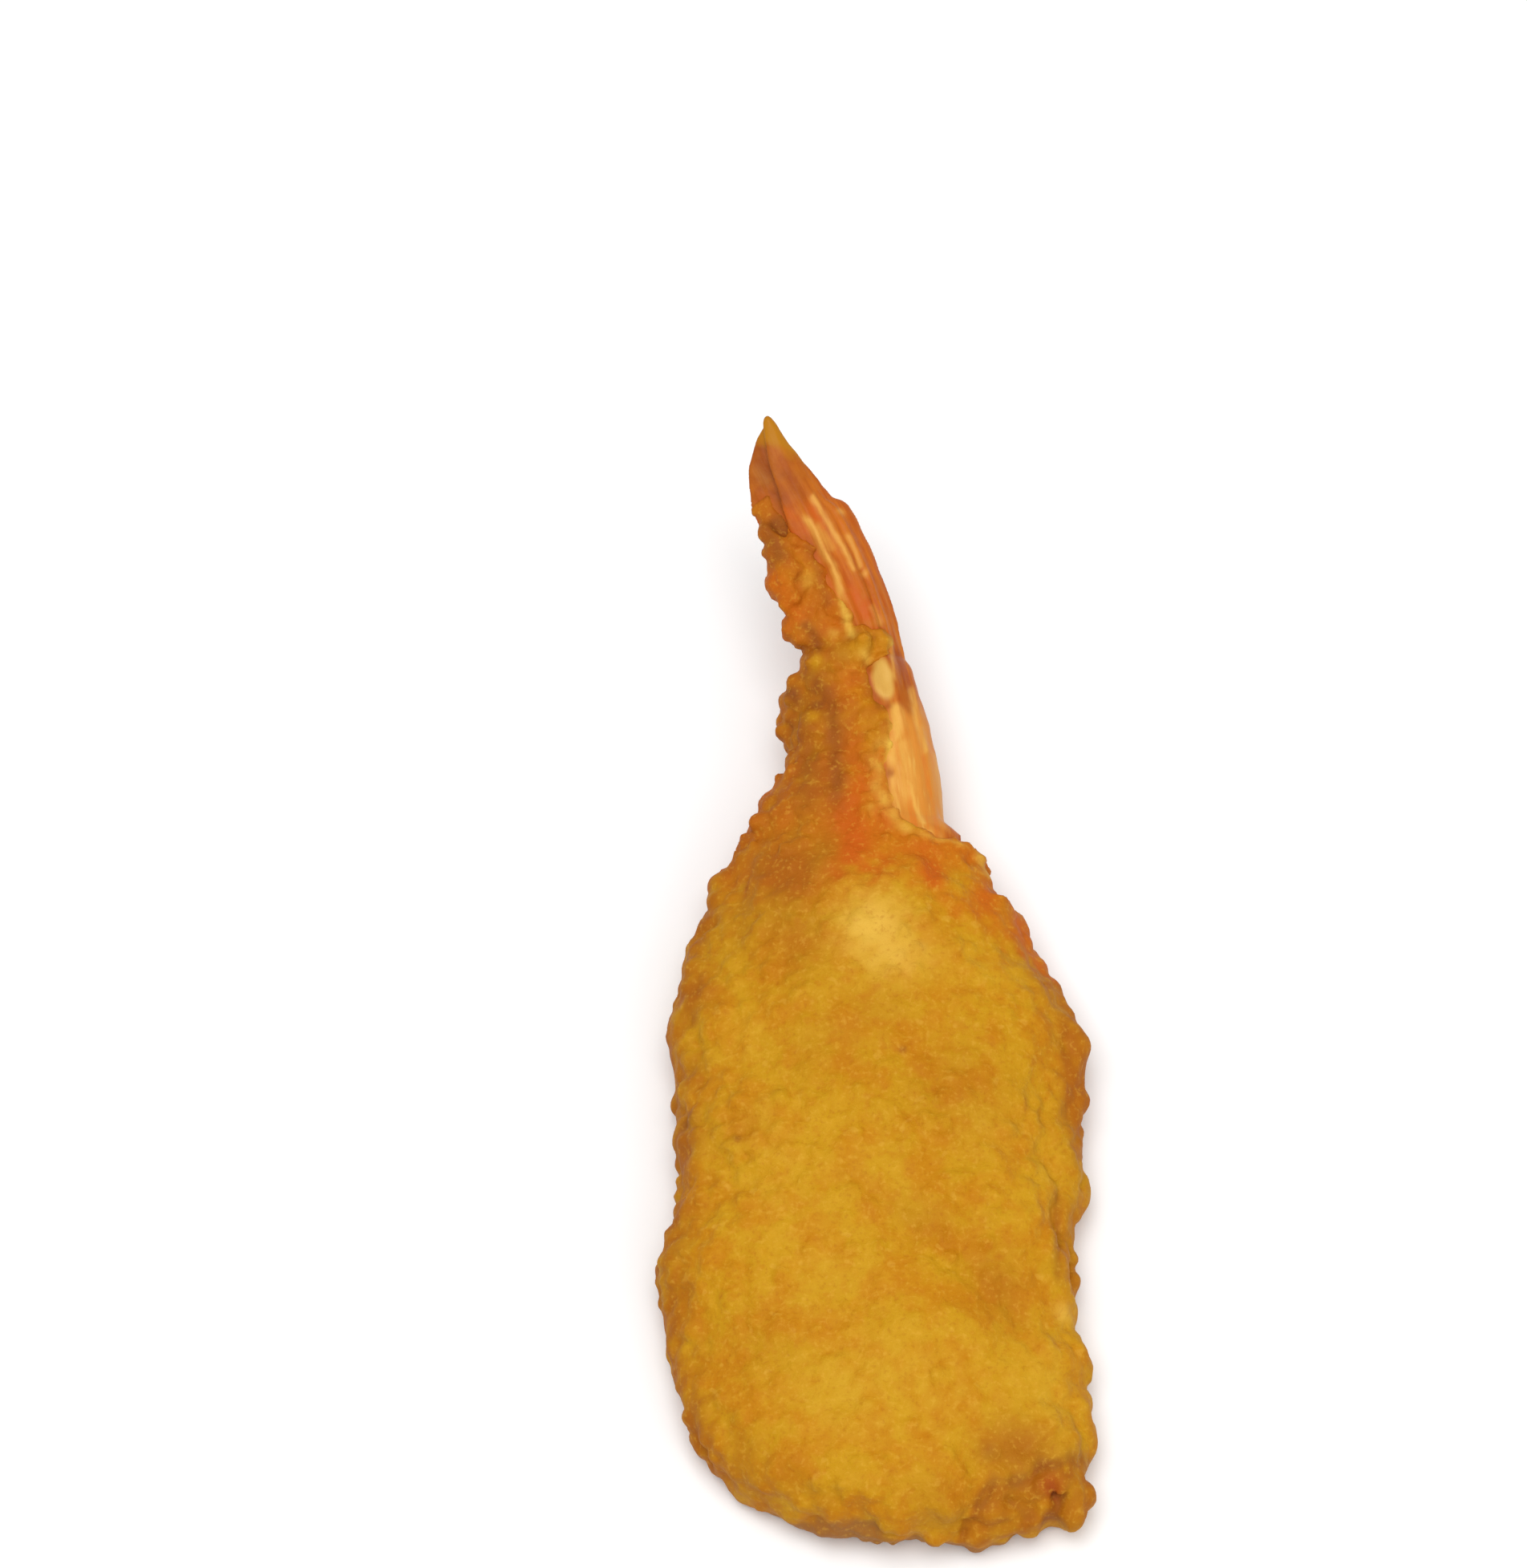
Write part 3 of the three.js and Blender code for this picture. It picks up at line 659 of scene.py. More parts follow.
def blade_point(blade, share, angle):
    length = blade["length"] + (BLADE_ROOT - blade["length"]) * share
    along = np.clip(length / blade["length"], 0, 1)
    across = signed_power(np.cos(angle), 0.9)
    width, closed = blade_width(blade, length, across)
    x = across * width

    edge = 1 - 0.45 * np.abs(across)
    ridge = sum(RIDGE_HEIGHT * bell(across - place, 0.10) for place in blade["ridges"])
    ridge = ridge * smooth(along, 0, 0.12) * (1 - smooth(along, 0.45, 0.9))
    fine = 0.07 * np.sin(across * 26 + 1.3 * np.sin(length * 0.35)) * (1 - along)
    lift = (ridge + fine) * smooth(np.sin(angle), 0, 0.3)
    thick = BLADE_THICKNESS * edge * (1 - 0.4 * along) * signed_power(np.sin(angle), 0.8)
    z = (thick + lift) * closed - 0.08 * x * x * (1 - along)

    roll = blade["roll"]
    rolled_x = x * math.cos(roll) - z * math.sin(roll)
    rolled_z = x * math.sin(roll) + z * math.cos(roll)
    swung = blade["across"] * (1 - along**2)
    return tail.at(SHELL_LENGTH + length, rolled_x + swung, rolled_z + blade["height"] * (1 - 0.5 * along))


def joined_shell(bare, base, length, across):
    """The distance to the shell, which near the neck lies where the solid's own surface is."""
    given = base + 0.1 + 1.2 * (1 - smooth(hem_gap(length, across), -2.6, -1.2)) + 2.5 * smooth(length, 3, 9)
    return smooth_min(bare, given, 0.3)


TAIL_LOFTS = [
    loft(around=96, along=90, place=shell_point),
    loft(around=48, along=32, place=knob_point),
    *(loft(around=120, along=140, place=partial(blade_point, blade)) for blade in BLADES),
]


def bare_shell(volume):
    """The distance to the tube of the shell, its knob and the fan."""
    tube, knob, *blades = (volume.from_mesh(points, triangles) for points, triangles in TAIL_LOFTS)
    return np.minimum.reduce([smooth_min(tube, knob, 1.0), *blades])


def make_tail(coat_box, coat_base):
    low = np.min([points.min(0) for points, _ in TAIL_LOFTS], axis=0) - 1
    high = np.max([points.max(0) for points, _ in TAIL_LOFTS], axis=0) + 1
    volume = Volume(low, high, TAIL_VOXEL)
    shell = bare_shell(volume)
    where = np.nonzero((volume.y < NECK_AT + 9) & (np.abs(shell) < BAND - 0.4))
    points = np.stack([axis[index] for axis, index in zip(volume.axes, where)], axis=1).astype(float)
    length, across, _ = tail.place(points)
    shell[where] = joined_shell(shell[where], coat_box.sample(coat_base, points), length, across)
    shell = blurred(shell, sigma=0.7)
    return volume, shell - layered(volume, SHELL_WEAR)


# ------------------------------------
# Meshes


def piece(name, points, faces, material, attributes):
    """A mesh object in metres, from points in the part's millimetres. Each attribute has a number a point."""
    mesh = bpy.data.meshes.new(name)
    mesh.vertices.add(len(points))
    mesh.vertices.foreach_set("co", ((points + PART_ZERO) / METRE).astype(np.float32).ravel())
    sides = faces.shape[1]
    mesh.loops.add(faces.size)
    mesh.loops.foreach_set("vertex_index", faces.astype(np.int32).ravel())
    mesh.polygons.add(len(faces))
    mesh.polygons.foreach_set("loop_start", np.arange(0, faces.size, sides, dtype=np.int32))
    mesh.polygons.foreach_set("use_smooth", np.ones(len(faces), bool))
    mesh.update(calc_edges=True)
    mesh.validate()
    for key, values in attributes.items():
        layer = mesh.attributes.new(key, "FLOAT", "POINT")
        layer.data.foreach_set("value", np.asarray(values, np.float32))
    mesh.materials.append(material)
    return add_object(name, mesh)


def add_object(name, data):
    added = bpy.data.objects.new(name, data)
    bpy.context.scene.collection.objects.link(added)
    return added


# ------------------------------------
# Materials


def linear(red, green, blue):
    """A colour given as 0 to 255 on screen."""
    share = [value / 255 for value in (red, green, blue)]
    return tuple(v / 12.92 if v <= 0.04045 else ((v + 0.055) / 1.055) ** 2.4 for v in share) + (1.0,)


class Nodes:
    """Short names for building a material's nodes."""

    def __init__(self, name):
        self.material = bpy.data.materials.new(name)
        self.material.use_nodes = True
        self.tree = self.material.node_tree
        self.shader = self.tree.nodes["Principled BSDF"]
        self.place = self.tree.nodes.new("ShaderNodeTexCoord").outputs["Object"]

    def link(self, value, socket):
        if isinstance(value, bpy.types.NodeSocket):
            self.tree.links.new(value, socket)
        else:
            socket.default_value = value

    def noise(self, size, detail, roughness, place=None):
        """Noise about 0 to 1 whose lumps are size millimetres across."""
        node = self.tree.nodes.new("ShaderNodeTexNoise")
        node.inputs["Scale"].default_value = METRE / size
        node.inputs["Detail"].default_value = detail
        node.inputs["Roughness"].default_value = roughness
        self.link(place or self.place, node.inputs["Vector"])
        return node.outputs["Fac"]

    def attribute(self, name):
        node = self.tree.nodes.new("ShaderNodeAttribute")
        node.attribute_name = name
        return node.outputs["Fac"]

    def multiply(self, a, b):
        node = self.tree.nodes.new("ShaderNodeMath")
        node.operation = "MULTIPLY"
        self.link(a, node.inputs[0])
        self.link(b, node.inputs[1])
        return node.outputs[0]

    def span(self, value, low, high, to_low=0.0, to_high=1.0):
        """value from low to high, mapped smoothly and clamped."""
        node = self.tree.nodes.new("ShaderNodeMapRange")
        node.interpolation_type = "SMOOTHSTEP"
        for key, number in zip(("From Min", "From Max", "To Min", "To Max"), (low, high, to_low, to_high)):
            node.inputs[key].default_value = number
        self.link(value, node.inputs["Value"])
        return node.outputs["Result"]

    def mix(self, share, a, b):
        node = self.tree.nodes.new("ShaderNodeMix")
        node.data_type = "RGBA"
        self.link(share, node.inputs[0])
        self.link(a, node.inputs[6])
        self.link(b, node.inputs[7])
        return node.outputs[2]

    def masked(self, color, colors):
        """A colour with others laid over it in turn, each where the attribute of its name is above 0."""
        for name, shade in colors:
            color = self.mix(self.attribute(name), color, linear(*shade))
        return color

    def bump(self, height, distance, normal=None):
        """distance in millimetres for a height of 1."""
        node = self.tree.nodes.new("ShaderNodeBump")
        node.inputs["Distance"].default_value = distance / METRE
        node.inputs["Strength"].default_value = 1.0
        self.link(height, node.inputs["Height"])
        if normal is not None:
            self.link(normal, node.inputs["Normal"])
        return node.outputs["Normal"]

    def finish(self, color, normal, roughness, specular):
        self.link(color, self.shader.inputs["Base Color"])
        self.link(normal, self.shader.inputs["Normal"])
        self.shader.inputs["Roughness"].default_value = roughness
        self.shader.inputs["Specular IOR Level"].default_value = specular
        return self.material


# Colours as they are on screen, from 0 to 255
COAT_COLORS = [
    ("yellow", (197, 149, 30)),
    ("brown", (160, 92, 12)),
    ("orange", (189, 92, 12)),
    ("red", (188, 72, 12)),
    ("pale", (218, 172, 66)),
    ("dark", (126, 67, 24)),
    ("shade", (146, 94, 42)),
]
SHELL_UNDER_COLORS = [("brown", (160, 80, 16)), ("orange", (192, 88, 20))]
SHELL_OVER_COLORS = [("dark", (130, 58, 18)), ("cream", (214, 170, 80)), ("gold", (177, 114, 14))]


def coating_material():
    n = Nodes("crumb_coating")
    patch = n.noise(3.8, detail=3, roughness=0.5)
    fine = n.noise(1.3, detail=3, roughness=0.6)
    grain = n.noise(0.5, detail=2, roughness=0.6)
    speck = n.noise(1.1, detail=1, roughness=0.4)
    color = n.mix(n.span(patch, 0.38, 0.62), linear(186, 121, 8), linear(189, 138, 15))
    color = n.mix(n.span(fine, 0.5, 0.72, 0, 0.4), color, linear(203, 150, 30))
    color = n.mix(n.span(fine, 0.5, 0.3, 0, 0.4), color, linear(180, 106, 6))
    color = n.mix(n.span(speck, 0.66, 0.76, 0, 0.35), color, linear(214, 162, 56))
    color = n.masked(color, COAT_COLORS)
    color = n.mix(n.span(grain, 0.52, 0.75, 0, 0.3), color, linear(216, 164, 56))
    color = n.mix(n.span(grain, 0.46, 0.25, 0, 0.3), color, linear(160, 88, 6))
    normal = n.bump(grain, 0.09, normal=n.bump(fine, 0.12))
    return n.finish(color, normal, roughness=0.6, specular=0.1)


def shell_material():
    n = Nodes("tail_shell")
    # Streaks run along the tail. Their place is in millimetres, and its length is squeezed to stretch them.
    place = n.tree.nodes.new("ShaderNodeCombineXYZ")
    n.link(n.attribute("across"), place.inputs[0])
    n.link(n.multiply(n.attribute("length"), 0.12), place.inputs[1])
    streaks = n.noise(METRE * 0.8, detail=3, roughness=0.6, place=place.outputs[0])
    bands = n.noise(METRE * 1.1, detail=3, roughness=0.6, place=place.outputs[0])
    blotch = n.noise(1.8, detail=3, roughness=0.6)
    color = n.mix(n.span(streaks, 0.36, 0.62), linear(168, 78, 12), linear(193, 107, 22))
    color = n.masked(color, SHELL_UNDER_COLORS)
    color = n.mix(n.span(blotch, 0.42, 0.7, 0, 0.5), color, linear(184, 104, 24))
    salmon = n.attribute("salmon")
    color = n.mix(salmon, color, linear(205, 128, 42))
    color = n.mix(n.multiply(salmon, n.span(bands, 0.5, 0.6, 0, 0.9)), color, linear(206, 106, 22))
    color = n.mix(n.multiply(salmon, n.span(bands, 0.44, 0.36, 0, 0.9)), color, linear(220, 164, 74))
    pale = n.multiply(n.attribute("pale"), n.span(streaks, 0.3, 0.55, 0.6, 1.0))
    color = n.mix(pale, color, linear(221, 163, 72))
    color = n.masked(color, SHELL_OVER_COLORS)
    normal = n.bump(blotch, 0.10, normal=n.bump(streaks, 0.10))
    return n.finish(color, normal, roughness=0.45, specular=0.15)


# ------------------------------------
# Masks for the colours

# Marks on the tail: the points of a line as lengths and distances across, its width and its strength
PALE_MARKS = [
    ([(33.2, -0.5), (29.8, -0.5), (27.2, -0.2), (24.0, -0.6), (20.6, -1.0)], 0.34, 0.85),
    ([(32.2, -0.1), (29.4, 0.2)], 0.6, 0.45),
    ([(34.6, 1.0), (29.1, 1.3), (26.8, 1.5)], 0.3, 0.75),
    ([(29.8, 2.5), (27.0, 2.4)], 0.32, 0.6),
    ([(26.0, 2.6), (25.9, 2.7)], 0.4, 0.6),
    ([(22.6, 1.9), (20.6, 2.1)], 0.35, 0.5),
    ([(32.0, 2.9), (31.9, 3.0)], 0.4, 0.6),
    ([(11.8, 1.8), (8.0, 0.8), (5.7, 0.5)], 0.6, 1.0),
    ([(4.3, 0.4), (1.4, 0.1)], 0.45, 0.75),
    ([(18.4, 2.7), (15.3, 2.1)], 0.25, 0.6),
    ([(13.6, 3.5), (10.0, 3.7), (7.4, 3.9)], 0.4, 0.7),
    ([(7.5, 1.7), (2.5, 1.5)], 0.8, 0.6),
    ([(3.4, 1.6), (-0.6, 2.7)], 0.25, 0.9),
    ([(6.6, 4.9), (0.8, 5.2)], 0.45, 0.5),
    ([(-1.9, 3.1), (-2.2, 3.3)], 0.4, 0.7),
    ([(-2.2, 4.1), (-2.6, 4.2)], 0.35, 0.7),
    ([(17.9, -0.4), (17.8, -0.3)], 0.6, 0.6),
    ([(21.2, -2.5), (21.1, -2.4)], 0.5, 0.4),
    ([(1.2, -2.2), (-0.9, -2.4)], 0.35, 0.8),
    ([(-1.4, -6.1), (-2.0, -6.2)], 0.5, 0.5),
    ([(38.8, -2.4), (38.6, -2.4)], 0.7, 0.35),
    ([(27.6, -3.0), (27.2, -3.0)], 0.8, 0.3),
]
DARK_MARKS = [
    ([(17.4, -5.9), (15.1, -4.7), (12.5, -4.6), (9.1, -4.9), (5.0, -5.1), (-1.0, -5.6)], 0.9, 0.5),
    ([(12.5, -8.0), (6.0, -7.6), (-2.0, -9.0), (-6.0, -9.5)], 1.6, 0.3),
    ([(15.5, -7.8), (15.3, -7.6)], 0.9, 0.9),
    ([(14.1, -5.7), (13.9, -5.5)], 0.8, 0.7),
    ([(30.2, -1.6), (24.4, -2.0)], 0.5, 0.3),
    ([(34.2, -4.2), (31.2, -4.6)], 1.1, 0.6),
    ([(41.0, -1.4), (38.6, -2.2)], 1.0, 0.5),
    ([(37.6, -0.6), (35.4, 0.1)], 0.8, 0.35),
    ([(36.4, -2.0), (36.0, -1.9)], 0.7, 0.4),
    ([(17.5, 3.1), (12.2, 2.8)], 0.5, 0.45),
    ([(17.0, -0.3), (14.6, -0.4), (12.6, 0.1), (12.1, 1.2)], 0.4, 0.35),
    ([(12.3, 0.5), (12.1, 0.9)], 0.4, 0.4),
    ([(4.9, 0.1), (4.8, 0.4)], 0.22, 0.45),
    ([(23.0, -5.0), (20.5, -4.4)], 0.6, 0.6),
]
RED_MARKS = [
    ([(24.2, 0.9), (22.0, 1.0)], 0.9, 0.8),
    ([(28.5, -5.6), (24.6, -5.4)], 1.1, 0.35),
    ([(33.8, 0.3), (31.6, 0.4)], 0.4, 0.8),
    ([(9.0, 2.6), (6.4, 3.1)], 0.6, 0.5),
]

# The lower edge of the orange breading round the neck, as x and y
NECK_EDGE = [
    (-14, 66), (-10, 63), (-6, 61.5), (-3, 63), (0, 64.4), (3.4, 63.8), (7, 61.4), (10.4, 59.9), (14, 58.5),
    (17, 56),
]


def marked(length, across, marks):
    total = np.zeros(len(length))
    for line, width, strength in marks:
        total = np.maximum(total, strength * bell(line_gap(length, across, line), width))
    return total


WAVES = 6  # so few added up are about -2.5 to 2.5


def wobble(points, seed, size, amount=1.0):
    """A smooth random shift for each point, from a few waves in random directions."""
    rng = np.random.default_rng(seed)
    total = np.zeros(len(points))
    for _ in range(WAVES):
        way = rng.standard_normal(3)
        way *= rng.uniform(0.7, 1.4) / np.linalg.norm(way)
        total += np.sin(points @ way * (2 * math.pi / size) + rng.uniform(0, 6.3))
    return amount * total / 2.5


def tail_masks(points):
    """Colour masks of the tail, and each point's place on it."""
    length, across, height = tail.place(points)
    shifted_length = length + wobble(points, 51, size=4.0, amount=0.4)
    shifted = across + wobble(points, 52, size=5.0, amount=0.12) + wobble(points, 53, size=1.3, amount=0.04)
    upper = smooth(height, -1.5, 0.3)
    return dict(
        length=length,
        across=across,
        height=height,
        pale=marked(shifted_length, shifted, PALE_MARKS) * upper,
        dark=marked(shifted_length, shifted, DARK_MARKS) * upper,
        red=marked(shifted_length, shifted, RED_MARKS) * upper,
    )


# Broad patches of the body's colour, as x, y, radius across, radius along and strength
YELLOW_PATCHES = [
    (8, 54.5, 6.5, 2.8, 0.5), (-9, 35, 4, 6, 0.4), (12, 38, 3, 3, 0.4), (4, 12.5, 7, 6, 0.6),
    (-4, 24, 4.5, 4, 0.4), (-4, 12, 3.5, 4, 0.5), (14.5, 13, 4, 5, 0.5), (0, 33, 5, 4, 0.2),
    (-12, 46, 2.5, 3, 0.3), (14, 30, 2, 3, 0.3), (18, 13, 2.2, 6, 0.5), (17.5, 35, 2, 3.5, 0.4),
    (-11, 49, 2, 2.5, 0.3),
]
BROWN_PATCHES = [
    (9, 42, 6, 5.5, 0.28), (-4, 46, 4.5, 4, 0.2), (-6.5, 56.5, 3.4, 4, 0.42), (12.5, 22.6, 3, 4, 0.4),
    (6, 28.5, 4, 2.5, 0.18), (-10, 17, 4, 4, 0.18), (17.5, 55, 2.5, 8, 0.12), (-16, 52.9, 2.6, 2.6, 0.45),
    (14.2, 7.0, 3.8, 2.8, 0.8), (-13, 5, 5, 3, 0.15), (-16.3, 45, 1.4, 2.2, 0.3), (-17, 38, 1.2, 2, 0.3),
    (1.5, 50, 3, 2.5, 0.22), (-11.5, 38.5, 2.5, 2, 0.25), (7, 2.2, 4.5, 2, 0.35), (-7.4, 64.5, 2.6, 3, 0.5),
    (-12, 60, 2.6, 4, 0.3),
]
RED_PATCHES = [(0.5, 66.5, 4, 4.5, 1.0)]

# Browner crust with painted shade, along the lower edge of the right side
# The dark band on the right side: its middle and width along, and where it fades in by x and by height
BAND_Y = (46.5, 6.5)
BAND_X = (18.2, 19.4)
BAND_Z = (2.5, 4.5)


def patched(x, y, patches):
    total = 0
    for at_x, at_y, radius_x, radius_y, strength in patches:
        total = total + strength * bell(np.hypot((x - at_x) / radius_x, (y - at_y) / radius_y), 1)
    return total


def coat_masks(volume, base, points):
    x, y, z = points.T
    height = volume.sample(base, points)  # above 0 on a crag's top and below 0 in a pit
    up = volume.sample(np.gradient(base, volume.voxel, axis=2), points)
    inward = volume.sample(inwardness(volume, base, width=3.2), points)
    side = 1 - smooth(up, 0.2, 0.8)
    top = z > ON_TOP
    speckle = wobble(points, 61, size=2.2)
    blotch = wobble(points, 62, size=6.0)
    mottle = wobble(points, 64, size=3.2)
    on_tail = smooth(y, NECK_AT - 2, NECK_AT + 3)
    marks = tail_masks(points)
    length, across = marks["length"], marks["across"]

    # Paler on the hump's top: partly paler crust, partly painted highlight
    hump = spot(x, y, **HUMP, shift=0.4 * speckle)
    hump = np.maximum(hump, 0.8 * spot(x, y, **HUMP_FOOT, shift=0.5 * speckle))
    neck = smooth(y - read_off(x, NECK_EDGE) + 0.9 * speckle, -1.8, 2.2)
    neck = neck * (1 - 0.5 * smooth(y, NECK_AT + 3, NECK_AT + 9))
    neck = neck * (1 - 0.5 * smooth(-x, 2, 5)) * (1 - 0.25 * smooth(x, 6, 9))
    red = patched(x, y, RED_PATCHES) * (0.14 + 0.16 * mottle) + 0.05 * smooth(mottle, 0, 1)
    collar = bell(length - 18.8, 1.6) * smooth(across, -4, -2.5)
    # Painted shade over the crevices on the neck's left, on faces turned upward
    crevice_shade = spot(x, y, **CREVICE_SHADE) * smooth(up, 0.1, 0.6)
    # Painted shade along the crease
    crease = bell(line_gap(x, y, CREASE_LINE) + 0.4 * speckle, 1.3) * smooth(up, 0.3, 0.7)
    patch = broken(x, y, z, 0.5 * speckle)
    patch_edge = bell(line_gap(x, y, BREAK_EDGE[2:]) + 0.3 * speckle, 0.6) * top
    red_spot = spot(x, y, **RED_SPOT) * top
    # Painted shade and browner crust on the right side's band
    band = bell(y - BAND_Y[0], BAND_Y[1]) * smooth(x, *BAND_X) * smooth(z, *BAND_Z)
    # Painted shadow of the overhanging crust on the ledge right of it, and a darker painted shadow line in
    # the groove along its edge
    ledge, groove = overhang(x, y)
    # Painted shade of a pit on the left, on top
    left_pit = spot(x, y, **LEFT_PIT) * top
    dots = sum(spot(x, y, **dot) for dot in DOTS) + 0.5 * spot(x, y, **FAINT_DOT)
    # Painted shade low down on the coating, near the floor
    low_shade = 1 - smooth(z + 0.4 * speckle, 0.3, 2.0)
    # Painted shade on the front end's lower side
    shade = 1 - smooth(z + 0.35 * speckle - read_off(x, FRONT_SHADE), -0.5, 0.5)
    shade = shade * (1 - smooth(y, 2, 5))

    hem_pale = 0.3 * bell(hem_gap(length, across) + 0.5, 0.9) * (1 + 0.7 * speckle) * (y > NECK_AT - 6)
    hem_pale = hem_pale * (1 - smooth(length, 8, 10)) * smooth(marks["height"], 0, 1)

    margin = (1 - smooth(inward, 0.5, 0.97)) * (1 - on_tail)
    margin = margin * np.where(x > 0, 0.2 + 0.8 * smooth(y, 34, 42), 1) * (0.45 + 0.55 * smooth(y, 3, 9))
    # Painted shade in pits, where the coating lies below the solid's surface
    pit_shade = smooth(-height, 0.0, 0.4)
    brown = 0.6 * margin * (0.9 + 0.4 * blotch) + 0.15 * side + patched(x, y, BROWN_PATCHES) * (1 - on_tail)
    # Browner in the broken patch, and painted shade in the crease, low down near the floor, on the right band
    # with its browner crust, and on the ledge under the overhang
    brown = brown + 0.58 * patch + 0.1 * crease + 0.4 * low_shade + 0.35 * band + 0.3 * ledge
    # Painted shade over the crevices, and browner on the tail except at the collar
    brown = brown + 0.5 * crevice_shade + on_tail * (0.55 + 0.3 * speckle) * (1 - 0.7 * collar)
    # Painted shade on the neck's left side
    brown = brown + 0.55 * neck * smooth(-x, 0, 4)
    # Painted shade in the pits, most on the right band and in the crevices, and a painted shadow line in the
    # groove along the overhanging crust
    dark = pit_shade * (0.15 * side + 0.4 * patch + 0.5 * crevice_shade + 0.8 * band + 0.4 * on_tail) + 0.35 * groove
    # Painted shade of the pit on the left and low down near the floor, dark dots, and a dark line along the
    # broken crust's edge
    dark = dark + 0.7 * left_pit + 0.6 * dots + 0.25 * low_shade + 0.5 * patch_edge
    # The red spot darker, and more painted shade on the neck's left side
    dark = dark + 0.5 * red_spot + 0.12 * neck * smooth(-x, 0, 4)
    orange = neck * (0.8 + 0.3 * mottle) * (1 - 0.5 * crevice_shade) * (1 - 0.6 * collar)
    orange = orange + on_tail * (marks["red"] + 0.3 * smooth(length, 20, 23))
    orange = orange + 0.08 * margin * smooth(x, 0, 5) * smooth(y, 36, 44)
    yellow = patched(x, y, YELLOW_PATCHES) * (1 - on_tail) * (1 - margin) * (1 - patch)
    yellow = yellow + 0.5 * collar + 0.6 * on_tail * smooth(length, 33, 34)
    pale = 0.9 * hump + 0.6 * spot(x, y, **BARE_SPOT) + on_tail * marks["pale"] + hem_pale
    return dict(
        yellow=np.clip(yellow * (1 + 0.5 * speckle), 0, 1),
        pale=np.clip(pale, 0, 1),
        orange=np.clip(orange, 0, 1),
        red=np.clip(neck * red + 0.8 * red_spot, 0, 1),
        brown=np.clip(brown + 0.2 * speckle * (margin + patch), 0, 1),
        dark=np.clip(dark + on_tail * marks["dark"], 0, 1),
        shade=0.85 * shade,
    )


def shell_masks(points):
    marks = tail_masks(points)
    length, across, height = marks["length"], marks["across"], marks["height"]
    speckle = wobble(points, 63, size=1.6)
    oval = np.hypot((length - OVAL_AT[0]) / 2.6, (across - OVAL_AT[1]) / 1.1) + 0.08 * speckle
    oval = (1 - smooth(oval, 0.6, 1.15)) * smooth(height, 0.5, 1.5)
    crusted = 1 - smooth(hem_gap(length, across) + 0.4 * speckle, -0.6, 1.0)
    strip = (1 - smooth(length, 9.5, 13)) * smooth(across, -0.6, 0.8)
    strip = strip * smooth(length + 0.5 * speckle, -2.6, -0.6) * (1 - smooth(across, 4.6, 5.6))
    tip = smooth(length + 1.1 * across + 0.3 * speckle, 39.3, 41.3)
    left = smooth(-across, 0.6, 2.4) * smooth(length, 20, 24)
    top = smooth(length, 33, 38)
    return dict(
        length=length,
        across=across,
        cream=0.85 * oval,
        pale=np.clip(marks["pale"] + 0.15 * strip, 0, 1) * (1 - 0.6 * crusted),
        salmon=np.clip(0.8 * strip, 0, 1),
        orange=np.clip(marks["red"] + 0.25 * smooth(length, 20, 24) * (1 - top) + 0.5 * crusted, 0, 1),
        brown=np.clip(0.45 * left + 0.6 * top + 0.4 * crusted + 0.2 * speckle * (1 - strip), 0, 0.9),
        dark=marks["dark"] * (1 - oval),
        gold=np.clip(tip, 0, 1),
    )


# ------------------------------------
# Making the pieces

coat_box, coat_base, coat_distance = make_coat()
coat_points, coat_faces = coat_box.to_mesh(coat_distance)
coat_colors = coat_masks(coat_box, coat_base, coat_points)
coat = piece("crumb_coat", coat_points, coat_faces, coating_material(), coat_colors)

tail_box, tail_distance = make_tail(coat_box, coat_base)
tail_points, tail_faces = tail_box.to_mesh(tail_distance)
shell = piece("tail_shell", tail_points, tail_faces, shell_material(), shell_masks(tail_points))

for shown in (coat, shell):
    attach(shown, "root")
    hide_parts(NODE)
print("PIECES", {o.name: sum(len(f.vertices) - 2 for f in o.data.polygons) for o in (coat, shell)})

# ------------------------------------
# Floor, light and camera

FLOOR_REACH = 3.0  # metres from the middle to each side
FLOOR_SHADE = (0.93, 0.93, 0.93, 1)
WORLD_STRENGTH = 0.55
LIT_POINT = Vector((0, 0, 0.01))


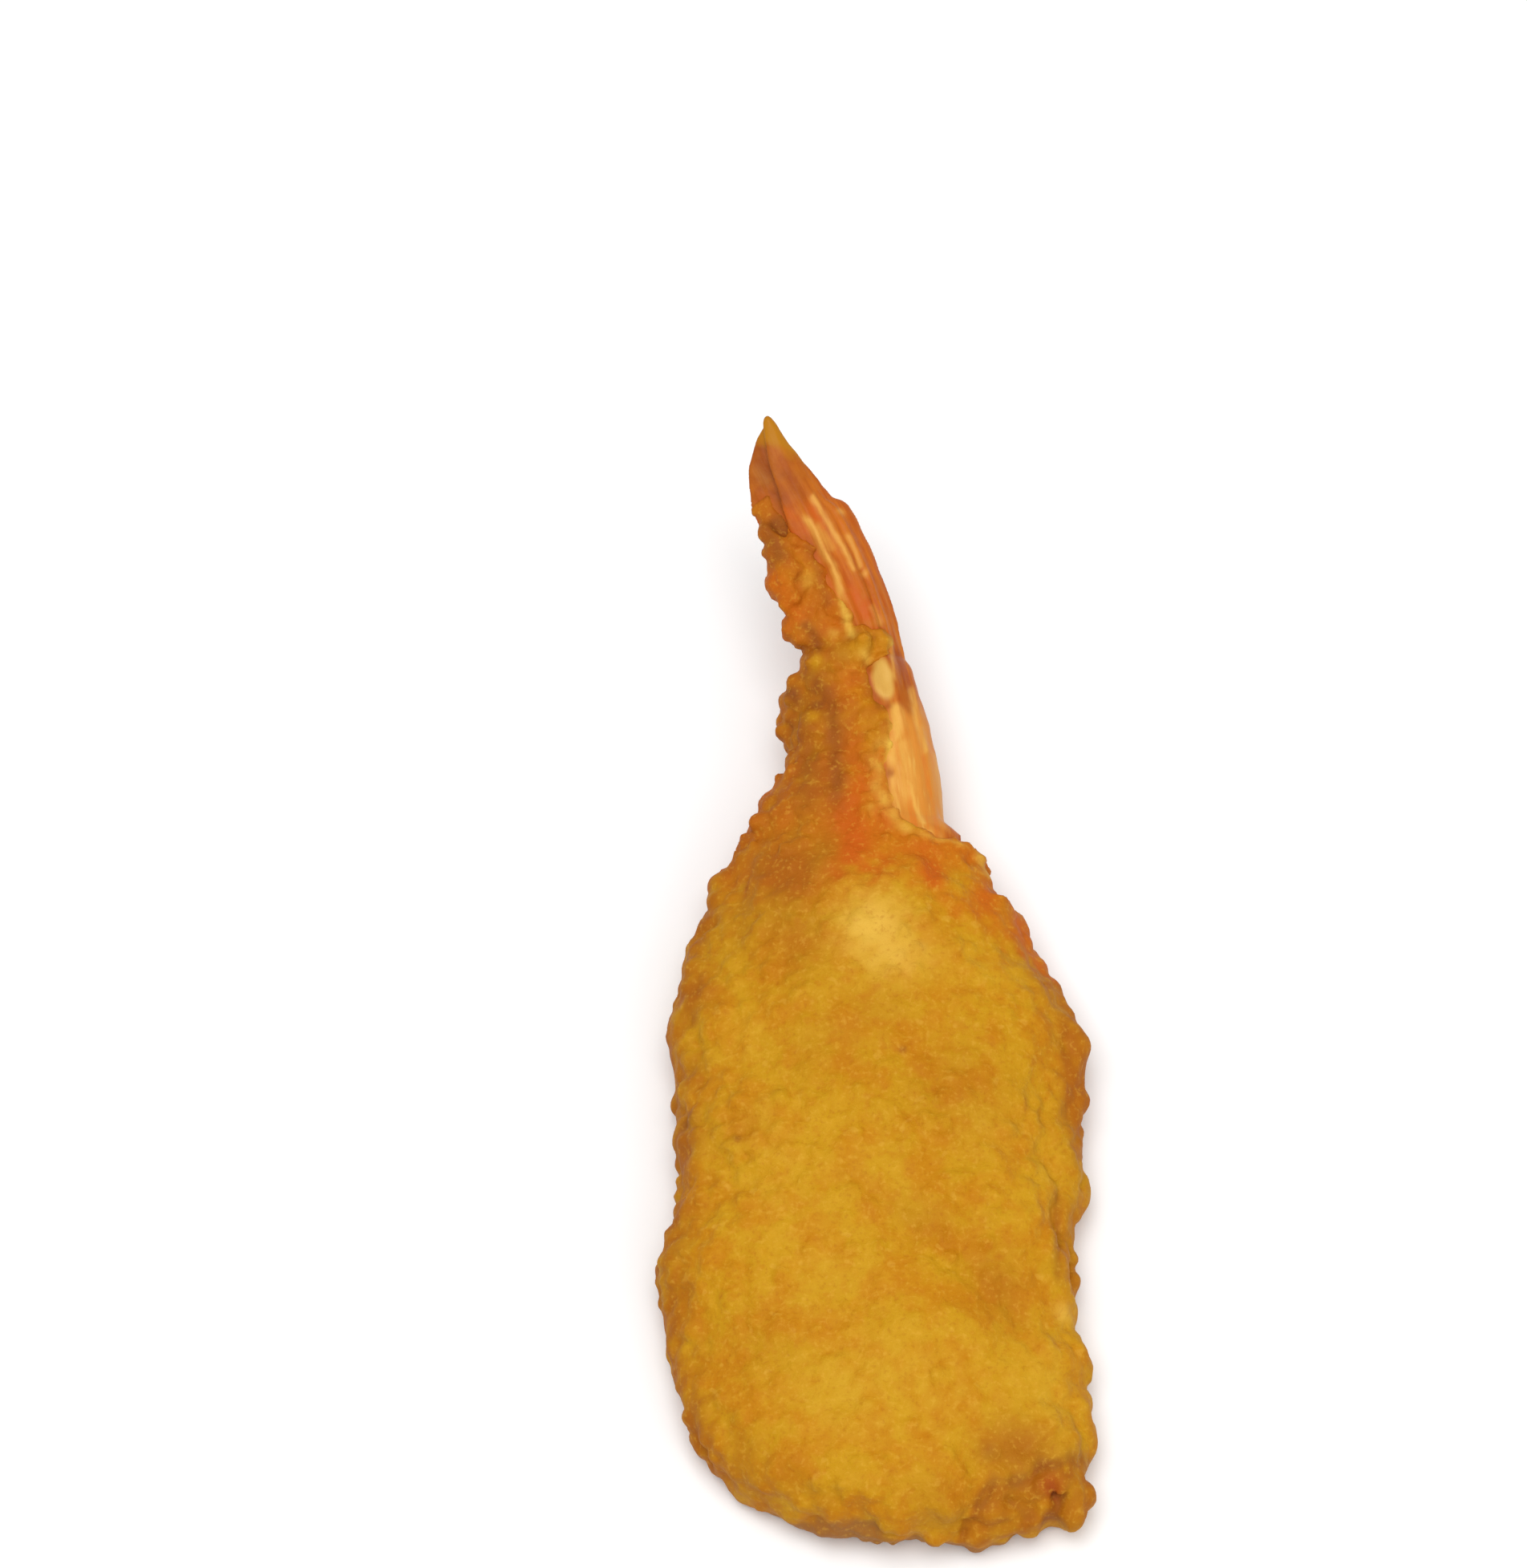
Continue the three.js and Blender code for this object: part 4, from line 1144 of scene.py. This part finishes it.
def make_floor():
    mesh = bpy.data.meshes.new("floor")
    reach = FLOOR_REACH
    corners = [(-reach, -reach, 0), (reach, -reach, 0), (reach, reach, 0), (-reach, reach, 0)]
    mesh.from_pydata(corners, [], [(0, 1, 2, 3)])
    n = Nodes("pale_floor")
    n.shader.inputs["Base Color"].default_value = FLOOR_SHADE
    n.shader.inputs["Roughness"].default_value = 0.7
    mesh.materials.append(n.material)
    floor = add_object("floor", mesh)


def make_light(name, place, size, watts):
    light = bpy.data.lights.new(name, "AREA")
    light.size = size
    light.energy = watts
    lamp = add_object(name, light)
    lamp.location = place
    lamp.rotation_euler = (LIT_POINT - Vector(place)).to_track_quat("-Z", "Y").to_euler()


def make_world():
    world = bpy.data.worlds.new("studio")
    world.use_nodes = True
    background = world.node_tree.nodes["Background"]
    background.inputs["Color"].default_value = (1, 1, 1, 1)
    background.inputs["Strength"].default_value = WORLD_STRENGTH
    bpy.context.scene.world = world


PIXELS_PER_MM = 13.05
PHOTO_SIZE = (1904, 1955)
OBJECT_AT = (1092, 1210)  # the pixel at which the middle of the object shows
ELEVATION = math.radians(64)
DISTANCE = 0.56  # metres from the middle of the object
SENSOR = 36.0  # millimetres across


def make_camera():
    data = bpy.data.cameras.new("camera")
    data.sensor_width = SENSOR
    data.lens = SENSOR * DISTANCE * METRE * PIXELS_PER_MM / PHOTO_SIZE[1]
    data.clip_start, data.clip_end = 0.01, 20
    forward = Vector((0, math.cos(ELEVATION), -math.sin(ELEVATION)))
    camera = add_object("camera", data)
    camera.location = (cad_low + cad_high) / 2 - forward * DISTANCE
    # The camera turns a little off the object, which then shows right of the picture's middle and below it.
    focal = DISTANCE * METRE * PIXELS_PER_MM
    turn = Matrix.Rotation(math.atan((OBJECT_AT[0] - PHOTO_SIZE[0] / 2) / focal), 3, "Y")
    tip = Matrix.Rotation(math.atan((OBJECT_AT[1] - PHOTO_SIZE[1] / 2) / focal), 3, "X")
    facing = forward.to_track_quat("-Z", "Y").to_matrix()
    camera.rotation_euler = (facing @ turn @ tip).to_euler()
    bpy.context.scene.camera = camera


make_floor()
make_world()
make_light("key", place=(-0.08, -0.06, 0.70), size=0.55, watts=3.4)
make_light("fill", place=(0.40, -0.40, 0.45), size=0.60, watts=1.2)
make_camera()
bpy.context.scene.view_settings.view_transform = "Standard"
